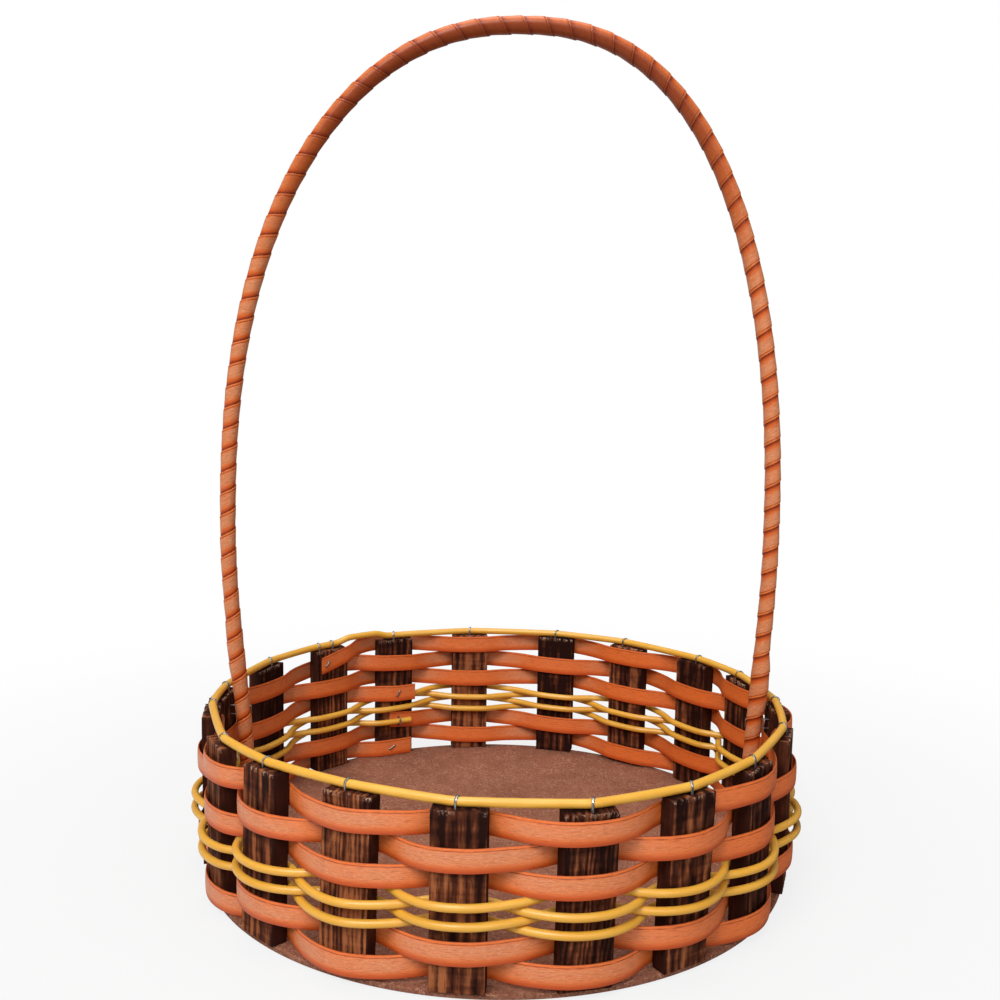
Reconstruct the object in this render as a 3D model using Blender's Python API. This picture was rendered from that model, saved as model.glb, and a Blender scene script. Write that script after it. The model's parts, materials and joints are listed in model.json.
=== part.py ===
"""Round woven basket: pine slats on a hardboard disc, three spiral weavers, a rim cord and a wrapped arch handle.

The origin is the centre of the disc's underside, +Z is up and +X points to the right leg of the handle.
"""

import math
from dataclasses import dataclass

import bmesh
import bpy
import numpy as np
from mathutils import Matrix, Vector

MM = 0.001

# Clearances and shading
SEAT_GAP = 0.3 * MM  # between a piece and what it rests on
TURN_GAP = 0.15 * MM  # between neighbouring turns of the weave, and beside a gripped cord
HOLE_GAP = 0.3 * MM  # round a staple's leg in its hole
SMOOTH_ANGLE = math.radians(40)  # sharper edges stay crisp

# Base disc
BASE_INSET = 1.5 * MM  # its edge lies this far in from the slats' outer faces
BASE_THICKNESS = 3.0 * MM
BASE_SIDES = 76

# Slats, numbered in the order in which the weavers pass them
SLAT_COUNT = 19
SLAT_WIDTH = 24.5 * MM
SLAT_THICKNESS = 8.5 * MM
SLAT_OUTER_REACH = 160.0 * MM  # from the axis to the outer faces
SLAT_STAND = 0.4 * MM  # slats above the highest row of tape
FIRST_SLAT_STEP = 6
# How far each slat stands past its even place, as a share of the spacing
SLAT_NUDGE_SHARES = (
    0.30, 0.27, 0.37, 0.50, 0.15, 0.15, 0.05, 0.05, 0.05, 0.10,
    0.05, 0.05, 0.08, 0.0, 0.06, -0.03, 0.02, 0.05, 0.24,
)
SLAT_LEAN = 4.0 * MM  # how far out the most leaning slat's top stands past its foot
# How far each slat leans out, as a share of that
SLAT_LEAN_SHARES = (
    0.0, 0.0, 0.0, 0.0, 0.0, 0.0, -0.5, -1.0, 0.0, 1.0,
    0.7, 0.0, 0.0, 0.0, 0.0, 0.0, 0.0, 0.0, 0.0,
)

# Weaving stock
TAPE_WIDTH = 11.0 * MM
TAPE_THICKNESS = 0.8 * MM
WEAVE_CORD_DIAMETER = 4.0 * MM
EDGE_MARGIN = 1.2 * MM  # a weaver starts its bend this far past a slat's edge
TAPE_OUT_BULGE = 2.4 * MM  # how far a weaver stands off the middle of a slat, outside
TAPE_IN_BULGE = 0.4 * MM
CORD_OUT_BULGE = 2.8 * MM
CORD_IN_BULGE = 0.3 * MM

# Turns of each weaver
LOWER_TURNS = 2
CORD_TURNS = 4
UPPER_TURNS = 3
UPPER_EXTRA_SLATS = 1  # the top strip ends this many slats past its last turn

# Where each weaver starts and ends along its slat, from the slat's middle
LOWER_TAPE_START = -11.0 * MM
LOWER_TAPE_END = 5.0 * MM
CORD_TAIL_START = -9.5 * MM
CORD_HIDDEN_END = -6.0 * MM
UPPER_TAPE_START = -12.0 * MM
UPPER_TAPE_END = 9.5 * MM

# Climb of each weaver: turns made, slats past them, and the share of its turn spacing climbed by there.
# The lower tape and the cord climb alike in every turn, mostly at its end.
LOWER_CLIMB_SHARES = (
    (0, 0.5, 0.0), (0.5, 0, 0.04), (1, -3.5, 0.08), (1, -1.5, 0.3), (1, -0.5, 0.5), (1, 0.5, 1.0),
)
CORD_CLIMB_SHARES = (
    (0, 0.5, 0.0), (0.5, 0, 0.2), (1, -3.5, 0.4), (1, -1.5, 0.9), (1, -0.5, 1.4), (1, 0.5, 1.0),
)
UPPER_CLIMB_SHARES = (
    (0, 0.5, 0.0), (0.5, 0, 0.2), (1, -3.5, 0.35), (1, -1.5, 0.5), (1, -0.5, 0.62), (1, 0.5, 1.0),
    (1.5, 0, 1.25), (2, -3.5, 1.42), (2, -0.5, 1.65), (2, 0.5, 2.0), (2.5, 0, 2.35),
    (3, -3, 2.65), (3, -0.5, 2.72), (3, 0.3, 3.0), (3, 0.6, 3.0), (3, 1.2, 2.36),
)
UPPER_TOP_ROW_SHARE = 2.72
UPPER_LAST_SHARE = 3.0

# The rows stand higher over the front slats: slats passed in a turn, and the share of the swell reached by there.
SWELL = 2.3 * MM
TAPE_SWELL_SHARES = (
    (5.5, 0.0), (7, 0.3), (8, 1.0), (9, 1.0), (10, 0.35), (11, 0.15), (12, 0.4), (13, 0.15), (14, 0.0),
)
CORD_SWELL_SHARES = (
    (5.5, 0.0), (7, 0.65), (8, 1.45), (9, 1.4), (10, 0.8), (11, 0.55), (12, 0.75), (13, 0.35), (14, 0.0),
)

# Points of a weaver between two slats, as shares of the way
TAPE_GAP_SHARES = (1 / 3, 2 / 3)
CORD_GAP_SHARES = (1 / 2,)

# Rim cord, stapled along the slat tops
RIM_CORD_DIAMETER = 4.3 * MM
RIM_INSET = 0.5 * MM  # in from the middle of the slats' thickness
RIM_FLAT = 2.5 * MM  # straight stretch each side of a staple
RIM_BOW = 0.6 * MM  # outward bow between two slats
RIM_JOIN = 0.8 * MM  # where the cord's two ends meet, along that slat
RIM_JOIN_STAPLES = (-1.5 * MM, 9.0 * MM)
RIM_MIDDLE_SHARES = (0.5,)  # where the bow is, as a share of the way between two staples
RIM_LIFT_SHARES = (0.25, 0.75)  # where the cord is lifted over the top strip
# How far each slat's staple stands from the slat's middle, as a share of its width
RIM_STAPLE_SHARES = (
    0.02, 0.0, -0.12, -0.16, -0.16, 0.16, 0.0, -0.08, -0.04, 0.06,
    0.04, -0.04, 0.12, 0.12, 0.08, -0.16, 0.1, -0.02, 0.0,
)

# Wire staples
WIRE_THICKNESS = 0.5 * MM
WIRE_WIDTH = 1.2 * MM
STAPLE_BITE = 5.5 * MM  # how deep a leg goes into a slat

# Where the weavers' end staples stand along their slats, and how far their crowns slant from level
LOWER_START_STAPLE = 3.0 * MM
LOWER_START_SLANT = math.radians(35)
CORD_TAIL_STAPLE = -1.0 * MM
CORD_TAIL_SLANT = math.radians(90)
UPPER_START_STAPLE = 0.5 * MM
UPPER_START_SLANT = math.radians(57)
UPPER_END_STAPLE = 5.2 * MM
UPPER_END_SLANT = math.radians(47)

# Handle: a cane rod bent to an arch, wrapped with tape
ROD_DIAMETER = 6.2 * MM
ROD_SIDES = 6
WRAP_SEAM_STEP = 0.45 * MM  # height of the lapped edge
WRAP_LEAD = 11.7 * MM
WRAP_SIDES = 8
WRAP_EDGE = 0.5 * MM  # length of the lapped edge along the rod
WRAP_FIRST_SHARE = 0.86  # the first lapped edge, as a share of the lead
LEG_CLEARANCE = 0.9 * MM  # between a leg's foot and the woven cord
LEG_SPLAY = 8.6 * MM  # how far each leg spreads from foot to spring line
SPLAY_FOOT_HEIGHT = 20.0 * MM
SPRING_HEIGHT = 175.0 * MM  # where the arch leaves the legs
ARCH_RISE = 272.0 * MM
ARCH_SWAY = -1.8 * MM  # how far both legs lean along X by the spring line
ARCH_SKEW = 8.8 * MM  # how far the top leans back towards +X
ARCH_POWER = 2.3
SKEW_POWER = 3
ROD_STATION = 16.0 * MM  # spacing of the rod's cross-sections
ARCH_SAMPLES = 720
LEG_SAMPLES = 120
HANDLE_STAPLE_DROP = 9.9 * MM  # below the slat tops
RIGHT_LEG_SLAT = 13
LEFT_LEG_SLAT = 3

# Sizes that follow from those above
BASE_RADIUS = SLAT_OUTER_REACH - BASE_INSET
BASE_TOP = BASE_THICKNESS
SLAT_FOOT = BASE_TOP + SEAT_GAP
SLAT_MID_REACH = SLAT_OUTER_REACH - SLAT_THICKNESS / 2
SLAT_INNER_REACH = SLAT_OUTER_REACH - SLAT_THICKNESS
SLAT_SPACING = math.tau * SLAT_MID_REACH / SLAT_COUNT
TAPE_PITCH = TAPE_WIDTH + TURN_GAP
CORD_PITCH = WEAVE_CORD_DIAMETER + TURN_GAP
TAPE_TO_CORD = TAPE_WIDTH / 2 + TURN_GAP + WEAVE_CORD_DIAMETER / 2
LOWER_FIRST_HEIGHT = BASE_TOP + SEAT_GAP + TAPE_WIDTH / 2
CORD_FIRST_HEIGHT = LOWER_FIRST_HEIGHT + (LOWER_TURNS - 1) * TAPE_PITCH + TAPE_TO_CORD
UPPER_FIRST_HEIGHT = CORD_FIRST_HEIGHT + (CORD_TURNS - 1) * CORD_PITCH + TAPE_TO_CORD
SLAT_TOP = UPPER_FIRST_HEIGHT + UPPER_TOP_ROW_SHARE * TAPE_PITCH + TAPE_WIDTH / 2 + SLAT_STAND
STRIP_TOP = UPPER_FIRST_HEIGHT + UPPER_LAST_SHARE * TAPE_PITCH + TAPE_WIDTH / 2
RIM_HEIGHT = SLAT_TOP + SEAT_GAP + RIM_CORD_DIAMETER / 2
RIM_JOIN_SLAT = UPPER_EXTRA_SLATS
HANDLE_STAPLE_HEIGHT = SLAT_TOP - HANDLE_STAPLE_DROP
CROWN_LENGTH = max(RIM_CORD_DIAMETER, WEAVE_CORD_DIAMETER) + 2 * (WIRE_THICKNESS + TURN_GAP)
BORE_RADIUS = ROD_DIAMETER / 2 + SEAT_GAP
WRAP_RADIUS = BORE_RADIUS + TAPE_THICKNESS
SEAM_RADIUS = WRAP_RADIUS + WRAP_SEAM_STEP
CORD_INNER_REACH = SLAT_INNER_REACH - SEAT_GAP - WEAVE_CORD_DIAMETER - CORD_IN_BULGE
LEG_REACH = CORD_INNER_REACH - LEG_CLEARANCE - SEAM_RADIUS
ARCH_HALF_SPAN = LEG_REACH + LEG_SPLAY


@dataclass
class Weaver:
    """One length of tape or cord, from its first slat to its last."""

    depth: float  # across the slats
    last: int  # the slat it ends on, counted from its first
    start: float
    end: float
    out_bulge: float
    in_bulge: float
    first_height: float
    pitch: float
    climb_shares: tuple
    repeats: int  # how often the climb is repeated
    gap_shares: tuple
    swell_shares: tuple
    lifts: tuple = (0, 0)  # how far it lies over another weaver at its start, and at that slat's far edge

    def height(self, place):
        """Height of the weaver's middle once it has passed so many slats."""
        climbed = [
            ((again + turns) * SLAT_COUNT + slats, again + share)
            for again in range(self.repeats)
            for turns, slats, share in self.climb_shares
        ]
        places, shares = zip(*climbed)
        slats, swells = zip(*self.swell_shares)
        swell = SWELL * np.interp(np.mod(place, SLAT_COUNT), slats, swells)
        return self.first_height + self.pitch * np.interp(place, places, shares) + swell


LOWER_TAPE = Weaver(
    TAPE_THICKNESS, LOWER_TURNS * SLAT_COUNT, LOWER_TAPE_START, LOWER_TAPE_END,
    TAPE_OUT_BULGE, TAPE_IN_BULGE, LOWER_FIRST_HEIGHT, TAPE_PITCH,
    LOWER_CLIMB_SHARES, LOWER_TURNS, TAPE_GAP_SHARES, TAPE_SWELL_SHARES,
)
WEAVE_CORD = Weaver(
    WEAVE_CORD_DIAMETER, CORD_TURNS * SLAT_COUNT, CORD_TAIL_START, CORD_HIDDEN_END,
    CORD_OUT_BULGE, CORD_IN_BULGE, CORD_FIRST_HEIGHT, CORD_PITCH,
    CORD_CLIMB_SHARES, CORD_TURNS, CORD_GAP_SHARES, CORD_SWELL_SHARES,
    lifts=(TAPE_THICKNESS + SEAT_GAP, TAPE_THICKNESS + SEAT_GAP),
)
UPPER_TAPE = Weaver(
    TAPE_THICKNESS, UPPER_TURNS * SLAT_COUNT + UPPER_EXTRA_SLATS, UPPER_TAPE_START, UPPER_TAPE_END,
    TAPE_OUT_BULGE, TAPE_IN_BULGE, UPPER_FIRST_HEIGHT, TAPE_PITCH,
    UPPER_CLIMB_SHARES, 1, TAPE_GAP_SHARES, TAPE_SWELL_SHARES,
    lifts=(WEAVE_CORD_DIAMETER + SEAT_GAP, 0),
)


def clear_scene():
    for old in list(bpy.data.objects):
        bpy.data.objects.remove(old)


def finish(name, colour, roughness, metallic=0.0):
    material = bpy.data.materials.new(name + "_finish")
    material.use_nodes = True
    shader = material.node_tree.nodes["Principled BSDF"]
    shader.inputs["Base Color"].default_value = (*colour, 1.0)
    shader.inputs["Roughness"].default_value = roughness
    shader.inputs["Metallic"].default_value = metallic
    return material


def tape_finish(name):
    return finish(name, (0.57, 0.17, 0.07), 0.45)


def cord_finish(name):
    return finish(name, (0.80, 0.49, 0.10), 0.35)


def slat_finish(name):
    return finish(name, (0.085, 0.032, 0.018), 0.75)


def wire_finish(name):
    return finish(name, (0.36, 0.35, 0.33), 0.35, 1.0)


def add_object(name, data, material):
    """Puts mesh or curve data into the scene as a named object with its finish."""
    thing = bpy.data.objects.new(name, data)
    bpy.context.scene.collection.objects.link(thing)
    thing.data.materials.append(material)
    return thing


def mesh_from(name, points, faces, smooth=False):
    """A mesh with its faces turned outwards."""
    mesh = bpy.data.meshes.new(name)
    mesh.from_pydata([tuple(map(float, point)) for point in points], [], faces)
    build = bmesh.new()
    build.from_mesh(mesh)
    bmesh.ops.recalc_face_normals(build, faces=build.faces)
    build.to_mesh(mesh)
    build.free()
    if smooth:
        mesh.shade_smooth()
        mesh.set_sharp_from_angle(angle=SMOOTH_ANGLE)
    return mesh


def skinned(name, rings, smooth=False):
    """A closed solid through rings of equally many points, with flat ends."""
    sides = len(rings[0])
    points = [point for ring in rings for point in ring]
    faces = [tuple(range(sides)), tuple(range(len(points) - sides, len(points)))]
    for ring in range(len(rings) - 1):
        low = ring * sides
        for side in range(sides):
            after = (side + 1) % sides
            faces.append((low + side, low + after, low + sides + after, low + sides + side))
    return mesh_from(name, points, faces, smooth)


def cut(piece, cutter):
    """Cuts one helper's shape out of a piece."""
    modifier = piece.modifiers.new("cut_" + cutter.name, "BOOLEAN")
    modifier.operation = "DIFFERENCE"
    modifier.object = cutter


def helper(name, mesh):
    """A cutter, which stays out of the finished basket."""
    thing = bpy.data.objects.new(name, mesh)
    bpy.context.scene.collection.objects.link(thing)
    thing.hide_render = True
    thing.display_type = "WIRE"
    return thing


def slat_bearing(number):
    """Direction of a slat from the axis; numbers past the last slat go round again."""
    nudge = SLAT_NUDGE_SHARES[number % SLAT_COUNT % len(SLAT_NUDGE_SHARES)]
    return math.tau * (FIRST_SLAT_STEP + number + nudge) / SLAT_COUNT


def slat_directions(number):
    """The outward direction at a slat, and the direction along its face that the weavers take."""
    bearing = slat_bearing(number)
    outward = np.array([math.cos(bearing), math.sin(bearing), 0])
    along = np.array([-math.sin(bearing), math.cos(bearing), 0])
    return outward, along


def slat_slope(number):
    """How far a slat leans out for each unit of height."""
    share = SLAT_LEAN_SHARES[number % SLAT_COUNT % len(SLAT_LEAN_SHARES)]
    return share * SLAT_LEAN / (SLAT_TOP - SLAT_FOOT)


def beside_slat(number, along, offset, height):
    """A point at a place along a slat, offset outwards from the middle of its thickness."""
    outward, sideways = slat_directions(number)
    reach = SLAT_MID_REACH + offset + slat_slope(number) * (height - SLAT_FOOT)
    return outward * reach + sideways * along + np.array([0, 0, height])


def curve_between(start, start_pull, end, end_pull, share):
    """A point on the smooth curve that leaves and arrives along the two pulls."""
    rest = 1 - share
    return (
        start * (1 + 2 * share) * rest**2 + start_pull * share * rest**2
        + end * (3 - 2 * share) * share**2 - end_pull * share**2 * rest
    )


def slat_stations(weaver, crossing):
    """Where a weaver runs over one slat: inside on even crossings, outside on odd ones."""
    side = -1 if crossing % 2 == 0 else 1
    bulge = weaver.in_bulge if side < 0 else weaver.out_bulge
    edge = SLAT_WIDTH / 2 + EDGE_MARGIN
    begin = weaver.start if crossing == 0 else -edge
    end = weaver.end if crossing == weaver.last else edge
    found = []
    for along in (begin, (begin + end) / 2, end):
        lift = 0 if crossing else weaver.lifts[along == end]
        rest = SLAT_THICKNESS / 2 + SEAT_GAP + weaver.depth / 2 + lift
        offset = side * (rest + bulge * (1 - (along / edge) ** 2))
        place = crossing + along / SLAT_SPACING
        found.append((beside_slat(crossing, along, offset, weaver.height(place)), place))
    outward, sideways = slat_directions(crossing)
    lean = 2 * side * bulge / edge
    pulls = (sideways + outward * lean, sideways - outward * lean)
    return found, pulls


def weaver_route(weaver):
    """Points along a weaver's middle, slat by slat, with the curves that cross between them."""
    stations, before, pull_out = [], None, None
    for crossing in range(weaver.last + 1):
        found, pulls = slat_stations(weaver, crossing)
        if before is not None:
            start, end = before, found[0]
            reach = np.linalg.norm(end[0] - start[0])
            for share in weaver.gap_shares:
                point = curve_between(start[0], pull_out * reach, end[0], pulls[0] * reach, share)
                stations.append((point, start[1] + share * (end[1] - start[1])))
        stations.extend(found)
        before, pull_out = found[-1], pulls[1]
    route = np.array([point for point, _ in stations])
    route[:, 2] = weaver.height(np.array([place for _, place in stations]))
    return route


def tape_mesh(name, weaver):
    """Tape on edge: an upright rectangle carried along the route and mitred at each bend."""
    route = weaver_route(weaver)
    steps = np.diff(route[:, :2], axis=0)
    steps /= np.linalg.norm(steps, axis=1)[:, None]
    arriving = np.vstack([steps[:1], steps])
    leaving = np.vstack([steps, steps[-1:]])
    middle = arriving + leaving
    middle /= np.linalg.norm(middle, axis=1)[:, None]
    mitre = 1 / np.sum(middle * leaving, axis=1)
    across = np.stack([middle[:, 1], -middle[:, 0], 0 * mitre], axis=1)
    across *= (mitre * weaver.depth / 2)[:, None]
    up = np.array([0, 0, TAPE_WIDTH / 2])
    corners = (route + across - up, route + across + up, route - across + up, route - across - up)
    return skinned(name, list(np.stack(corners, axis=1)))


def cord_curve(name, route, diameter, bevel_resolution):
    """A round cord along a list of points, with filled ends."""
    curve = bpy.data.curves.new(name, "CURVE")
    curve.dimensions = "3D"
    curve.bevel_depth = diameter / 2
    curve.bevel_resolution = bevel_resolution
    curve.use_fill_caps = True
    spline = curve.splines.new("POLY")
    spline.points.add(len(route) - 1)
    for point, place in zip(spline.points, route):
        point.co = (*map(float, place), 1)
    return curve


def rim_staple_places(number):
    """Where the rim cord is stapled along a slat: once, and twice where its ends meet."""
    if number % SLAT_COUNT == RIM_JOIN_SLAT:
        return RIM_JOIN_STAPLES
    share = RIM_STAPLE_SHARES[number % SLAT_COUNT % len(RIM_STAPLE_SHARES)]
    return (share * SLAT_WIDTH,)


def rim_point(number, along):
    """A point of the rim cord's middle over a slat."""
    return beside_slat(number, along, -RIM_INSET, RIM_HEIGHT)


def rim_route():
    """The rim cord: straight over each staple, slightly bowed between slats, lifted over the top strip's end."""
    lift = max(0, STRIP_TOP + TURN_GAP + RIM_CORD_DIAMETER / 2 - RIM_HEIGHT)
    last = RIM_JOIN_SLAT + SLAT_COUNT
    route = [rim_point(RIM_JOIN_SLAT, RIM_JOIN + SEAT_GAP / 2)]
    for number in range(RIM_JOIN_SLAT + 1, last + 1):
        start = rim_point(number - 1, rim_staple_places(number - 1)[-1] + RIM_FLAT)
        end = rim_point(number, rim_staple_places(number)[0] - RIM_FLAT)
        outward = (start + end) / np.linalg.norm((start + end)[:2])
        outward[2] = 0
        rise = np.array([0, 0, lift if number == last else 0])
        middles = RIM_LIFT_SHARES if number == last else RIM_MIDDLE_SHARES
        route.append(start)
        route += [start + share * (end - start) + outward * RIM_BOW + rise for share in middles]
        route.append(end)
    route.append(rim_point(RIM_JOIN_SLAT, RIM_JOIN - SEAT_GAP / 2))
    return np.array(route)


def staple_mesh(name, leg):
    """A bent wire: a flat crown at the origin with two legs down."""
    half, wire = CROWN_LENGTH / 2, WIRE_THICKNESS
    outline = (
        (-half, 0), (half, 0), (half, -leg), (half - wire, -leg),
        (half - wire, -wire), (wire - half, -wire), (wire - half, -leg), (-half, -leg),
    )
    rings = [[(x, y, z) for x, z in outline] for y in (-WIRE_WIDTH / 2, WIRE_WIDTH / 2)]
    return skinned(name, rings)


def staple_hole_mesh(name, leg):
    """The two holes that a staple's legs need, from its crown down."""
    middle = CROWN_LENGTH / 2 - WIRE_THICKNESS / 2
    size = (WIRE_THICKNESS + 2 * HOLE_GAP, WIRE_WIDTH + 2 * HOLE_GAP, leg + HOLE_GAP)
    build = bmesh.new()
    for x in (-middle, middle):
        place = Matrix.Translation((x, 0, -size[2] / 2)) @ Matrix.Diagonal((*size, 1))
        bmesh.ops.create_cube(build, size=1, matrix=place)
    mesh = bpy.data.meshes.new(name)
    build.to_mesh(mesh)
    build.free()
    return mesh


def staple_stance(origin, crown, away):
    """The matrix that stands a staple at a point: its crown along one direction, its legs against another."""
    x, z = Vector(crown).normalized(), Vector(away).normalized()
    return Matrix.Translation(Vector(origin)) @ Matrix((x, z.cross(x), z)).transposed().to_4x4()


def add_staple(name, leg, stance, cut_pieces):
    """Adds a staple and cuts the holes for its legs."""
    staple = add_object(name, staple_mesh(name, leg), wire_finish(name))
    staple.matrix_world = stance
    holes = helper(name + "_holes", staple_hole_mesh(name + "_holes", leg))
    holes.matrix_world = stance
    for piece in cut_pieces:
        cut(piece, holes)


def build_base():
    """The round disc, standing on the ground."""
    build = bmesh.new()
    bmesh.ops.create_cone(
        build, cap_ends=True, segments=BASE_SIDES, radius1=BASE_RADIUS, radius2=BASE_RADIUS,
        depth=BASE_THICKNESS,
    )
    mesh = bpy.data.meshes.new("base_disc")
    build.to_mesh(mesh)
    build.free()
    mesh.shade_smooth()
    mesh.set_sharp_from_angle(angle=SMOOTH_ANGLE)
    disc = add_object("base_disc", mesh, finish("base_disc", (0.20, 0.095, 0.062), 0.85))
    disc.location.z = BASE_THICKNESS / 2


def build_slats():
    """The sawn slats, standing on the disc's edge."""
    build = bmesh.new()
    size = (SLAT_THICKNESS, SLAT_WIDTH, SLAT_TOP - SLAT_FOOT)
    bmesh.ops.create_cube(build, size=1, matrix=Matrix.Diagonal((*size, 1)))
    shared = bpy.data.meshes.new("slat")
    build.to_mesh(shared)
    build.free()
    slats = []
    for number in range(SLAT_COUNT):
        name = f"slat_{number + 1:02d}"
        slat = add_object(name, shared.copy(), slat_finish(name))
        slat.location = beside_slat(number, 0, 0, (SLAT_TOP + SLAT_FOOT) / 2)
        slat.rotation_euler = (0, math.atan(slat_slope(number)), slat_bearing(number))
        slats.append(slat)
    return slats


def build_rim(slats):
    """The rim cord and the staples that hold it to the slat tops."""
    cord = cord_curve("rim_cord", rim_route(), RIM_CORD_DIAMETER, 2)
    add_object("rim_cord", cord, cord_finish("rim_cord"))
    crown_rise = RIM_CORD_DIAMETER / 2 + SEAT_GAP + WIRE_THICKNESS
    leg = crown_rise + RIM_HEIGHT - SLAT_TOP + STAPLE_BITE
    count = 0
    for number, slat in enumerate(slats):
        outward, _ = slat_directions(number)
        for along in rim_staple_places(number):
            count += 1
            origin = rim_point(number, along) + np.array([0, 0, crown_rise])
            add_staple(f"rim_staple_{count:02d}", leg, staple_stance(origin, outward, (0, 0, 1)), [slat])


def end_staple(name, number, along, height, standing, slant, cut_pieces):
    """A staple into the inside of a slat, over a weaver that stands this far off it."""
    outward, sideways = slat_directions(number)
    offset = -(SLAT_THICKNESS / 2 + standing + SEAT_GAP + WIRE_THICKNESS)
    origin = beside_slat(number, along, offset, height)
    crown = math.sin(slant) * np.array([0, 0, 1]) - math.cos(slant) * sideways
    leg = WIRE_THICKNESS + SEAT_GAP + standing + STAPLE_BITE
    add_staple(name, leg, staple_stance(origin, crown, -outward), cut_pieces)


def build_weave(slats):
    """The two tapes and the cord, and the staples at their ends."""
    lower = add_object("lower_tape", tape_mesh("lower_tape", LOWER_TAPE), tape_finish("lower_tape"))
    upper = add_object("upper_tape", tape_mesh("upper_tape", UPPER_TAPE), tape_finish("upper_tape"))
    cord = cord_curve("weave_cord", weaver_route(WEAVE_CORD), WEAVE_CORD_DIAMETER, 1)
    add_object("weave_cord", cord, cord_finish("weave_cord"))
    tape_stands = SEAT_GAP + TAPE_THICKNESS + TAPE_IN_BULGE
    cord_stands = SEAT_GAP + WEAVE_CORD_DIAMETER + CORD_IN_BULGE + WEAVE_CORD.lifts[0]
    end_staple(
        "lower_start_staple", 0, LOWER_START_STAPLE, LOWER_FIRST_HEIGHT, tape_stands,
        LOWER_START_SLANT, [slats[0], lower],
    )
    end_staple(
        "cord_tail_staple", 0, CORD_TAIL_STAPLE, CORD_FIRST_HEIGHT, cord_stands,
        CORD_TAIL_SLANT, [slats[0], lower],
    )
    end_staple(
        "upper_start_staple", 0, UPPER_START_STAPLE, UPPER_FIRST_HEIGHT,
        tape_stands + UPPER_TAPE.lifts[0], UPPER_START_SLANT, [slats[0], upper],
    )
    end_place = UPPER_TAPE.last + UPPER_END_STAPLE / SLAT_SPACING
    end_staple(
        "upper_end_staple", UPPER_EXTRA_SLATS, UPPER_END_STAPLE, UPPER_TAPE.height(end_place),
        tape_stands, UPPER_END_SLANT, [slats[UPPER_EXTRA_SLATS], upper],
    )


def leg_places(side, heights):
    """Where a leg's middle is along X at heights up to the spring line; the side is -1 or 1."""
    drop = np.clip((SPRING_HEIGHT - heights) / (SPRING_HEIGHT - SPLAY_FOOT_HEIGHT), 0, 1)
    eased = drop**2 * (3 - 2 * drop)
    return side * (ARCH_HALF_SPAN - LEG_SPLAY * eased) + ARCH_SWAY * (1 - eased)


def handle_line():
    """The rod's middle from the left foot to the right, as X and Z, and the length walked to each point."""
    turn = np.linspace(0, math.pi, ARCH_SAMPLES)
    level, upright = -np.cos(turn), np.sin(turn)
    rise_share = upright ** (2 / ARCH_POWER)
    arch_x = ARCH_HALF_SPAN * np.sign(level) * np.abs(level) ** (2 / ARCH_POWER)
    arch_x += ARCH_SWAY + ARCH_SKEW * rise_share**SKEW_POWER
    arch = np.stack([arch_x, SPRING_HEIGHT + ARCH_RISE * rise_share], axis=1)
    heights = np.linspace(BASE_TOP + SEAT_GAP, SPRING_HEIGHT, LEG_SAMPLES)[:-1]
    left = np.stack([leg_places(-1, heights), heights], axis=1)
    right = np.stack([leg_places(1, heights), heights], axis=1)[::-1]
    line = np.vstack([left, arch, right])
    walked = np.concatenate([[0], np.cumsum(np.linalg.norm(np.diff(line, axis=0), axis=1))])
    return line, walked


def handle_frames(line, walked, wanted):
    """The rod's middle and its normal in the arch's plane, at each wanted length along it."""

    def at(lengths):
        places = [np.interp(lengths, walked, line[:, axis]) for axis in (0, 1)]
        return np.stack([places[0], 0 * lengths, places[1]], axis=1)

    tangent = at(np.minimum(wanted + SEAT_GAP, walked[-1])) - at(np.maximum(wanted - SEAT_GAP, 0))
    tangent /= np.linalg.norm(tangent, axis=1)[:, None]
    return at(wanted), np.cross([0, 1, 0], tangent)


def rod_rings(radius):
    """Rings of points round the rod's middle line."""
    line, walked = handle_line()
    count = max(2, round(walked[-1] / ROD_STATION)) + 1
    middle, normal = handle_frames(line, walked, np.linspace(0, walked[-1], count))
    angles = np.arange(ROD_SIDES) * math.tau / ROD_SIDES
    level = np.cos(angles)[None, :, None] * normal[:, None, :]
    depth = np.sin(angles)[None, :, None] * np.array([0, 1, 0])
    return list(middle[:, None, :] + radius * (level + depth))


def wrap_columns():
    """Lines along the wrap, one for each side, that step down at each lapped edge of the helix."""
    line, walked = handle_line()
    length = walked[-1]
    turns = int((length - 2 * WRAP_LEAD) / WRAP_LEAD)
    lead = (length - WRAP_LEAD) / (turns + 1)
    radii = np.concatenate([[WRAP_RADIUS], np.tile([SEAM_RADIUS, WRAP_RADIUS], turns), [WRAP_RADIUS]])
    columns = []
    for side in range(WRAP_SIDES):
        edges = lead * (np.arange(turns) + WRAP_FIRST_SHARE + side / WRAP_SIDES)
        along = np.concatenate([[0], np.stack([edges, edges + WRAP_EDGE], axis=1).ravel(), [length]])
        middle, normal = handle_frames(line, walked, along)
        angle = math.tau * side / WRAP_SIDES
        spoke = math.cos(angle) * normal + math.sin(angle) * np.array([0, 1, 0])
        columns.append(middle + radii[:, None] * spoke)
    return columns


def wrap_mesh():
    """Tape wound round the rod in a right-handed helix, each turn's edge lapped over the one before."""
    columns = wrap_columns()
    rows = len(columns[0])
    numbers = [list(range(side * rows, (side + 1) * rows)) for side in range(WRAP_SIDES)]
    faces = [tuple(column[0] for column in numbers), tuple(column[-1] for column in numbers)]
    for here, after in zip(numbers[:-1], numbers[1:]):
        faces += [(a, b, d, c) for a, b, c, d in zip(here[:-1], here[1:], after[:-1], after[1:])]
    last, first = numbers[-1], numbers[0]
    # Past one round the helix meets its own next edge, which is one turn further along
    faces.append((last[0], last[1], first[3], first[2], first[1], first[0]))
    faces += [(last[i], last[i + 1], first[i + 3], first[i + 2]) for i in range(1, rows - 4)]
    faces.append((*last[-4:], first[-1], first[-2]))
    return mesh_from("handle_wrap", np.concatenate(columns), faces, smooth=True)


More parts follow.
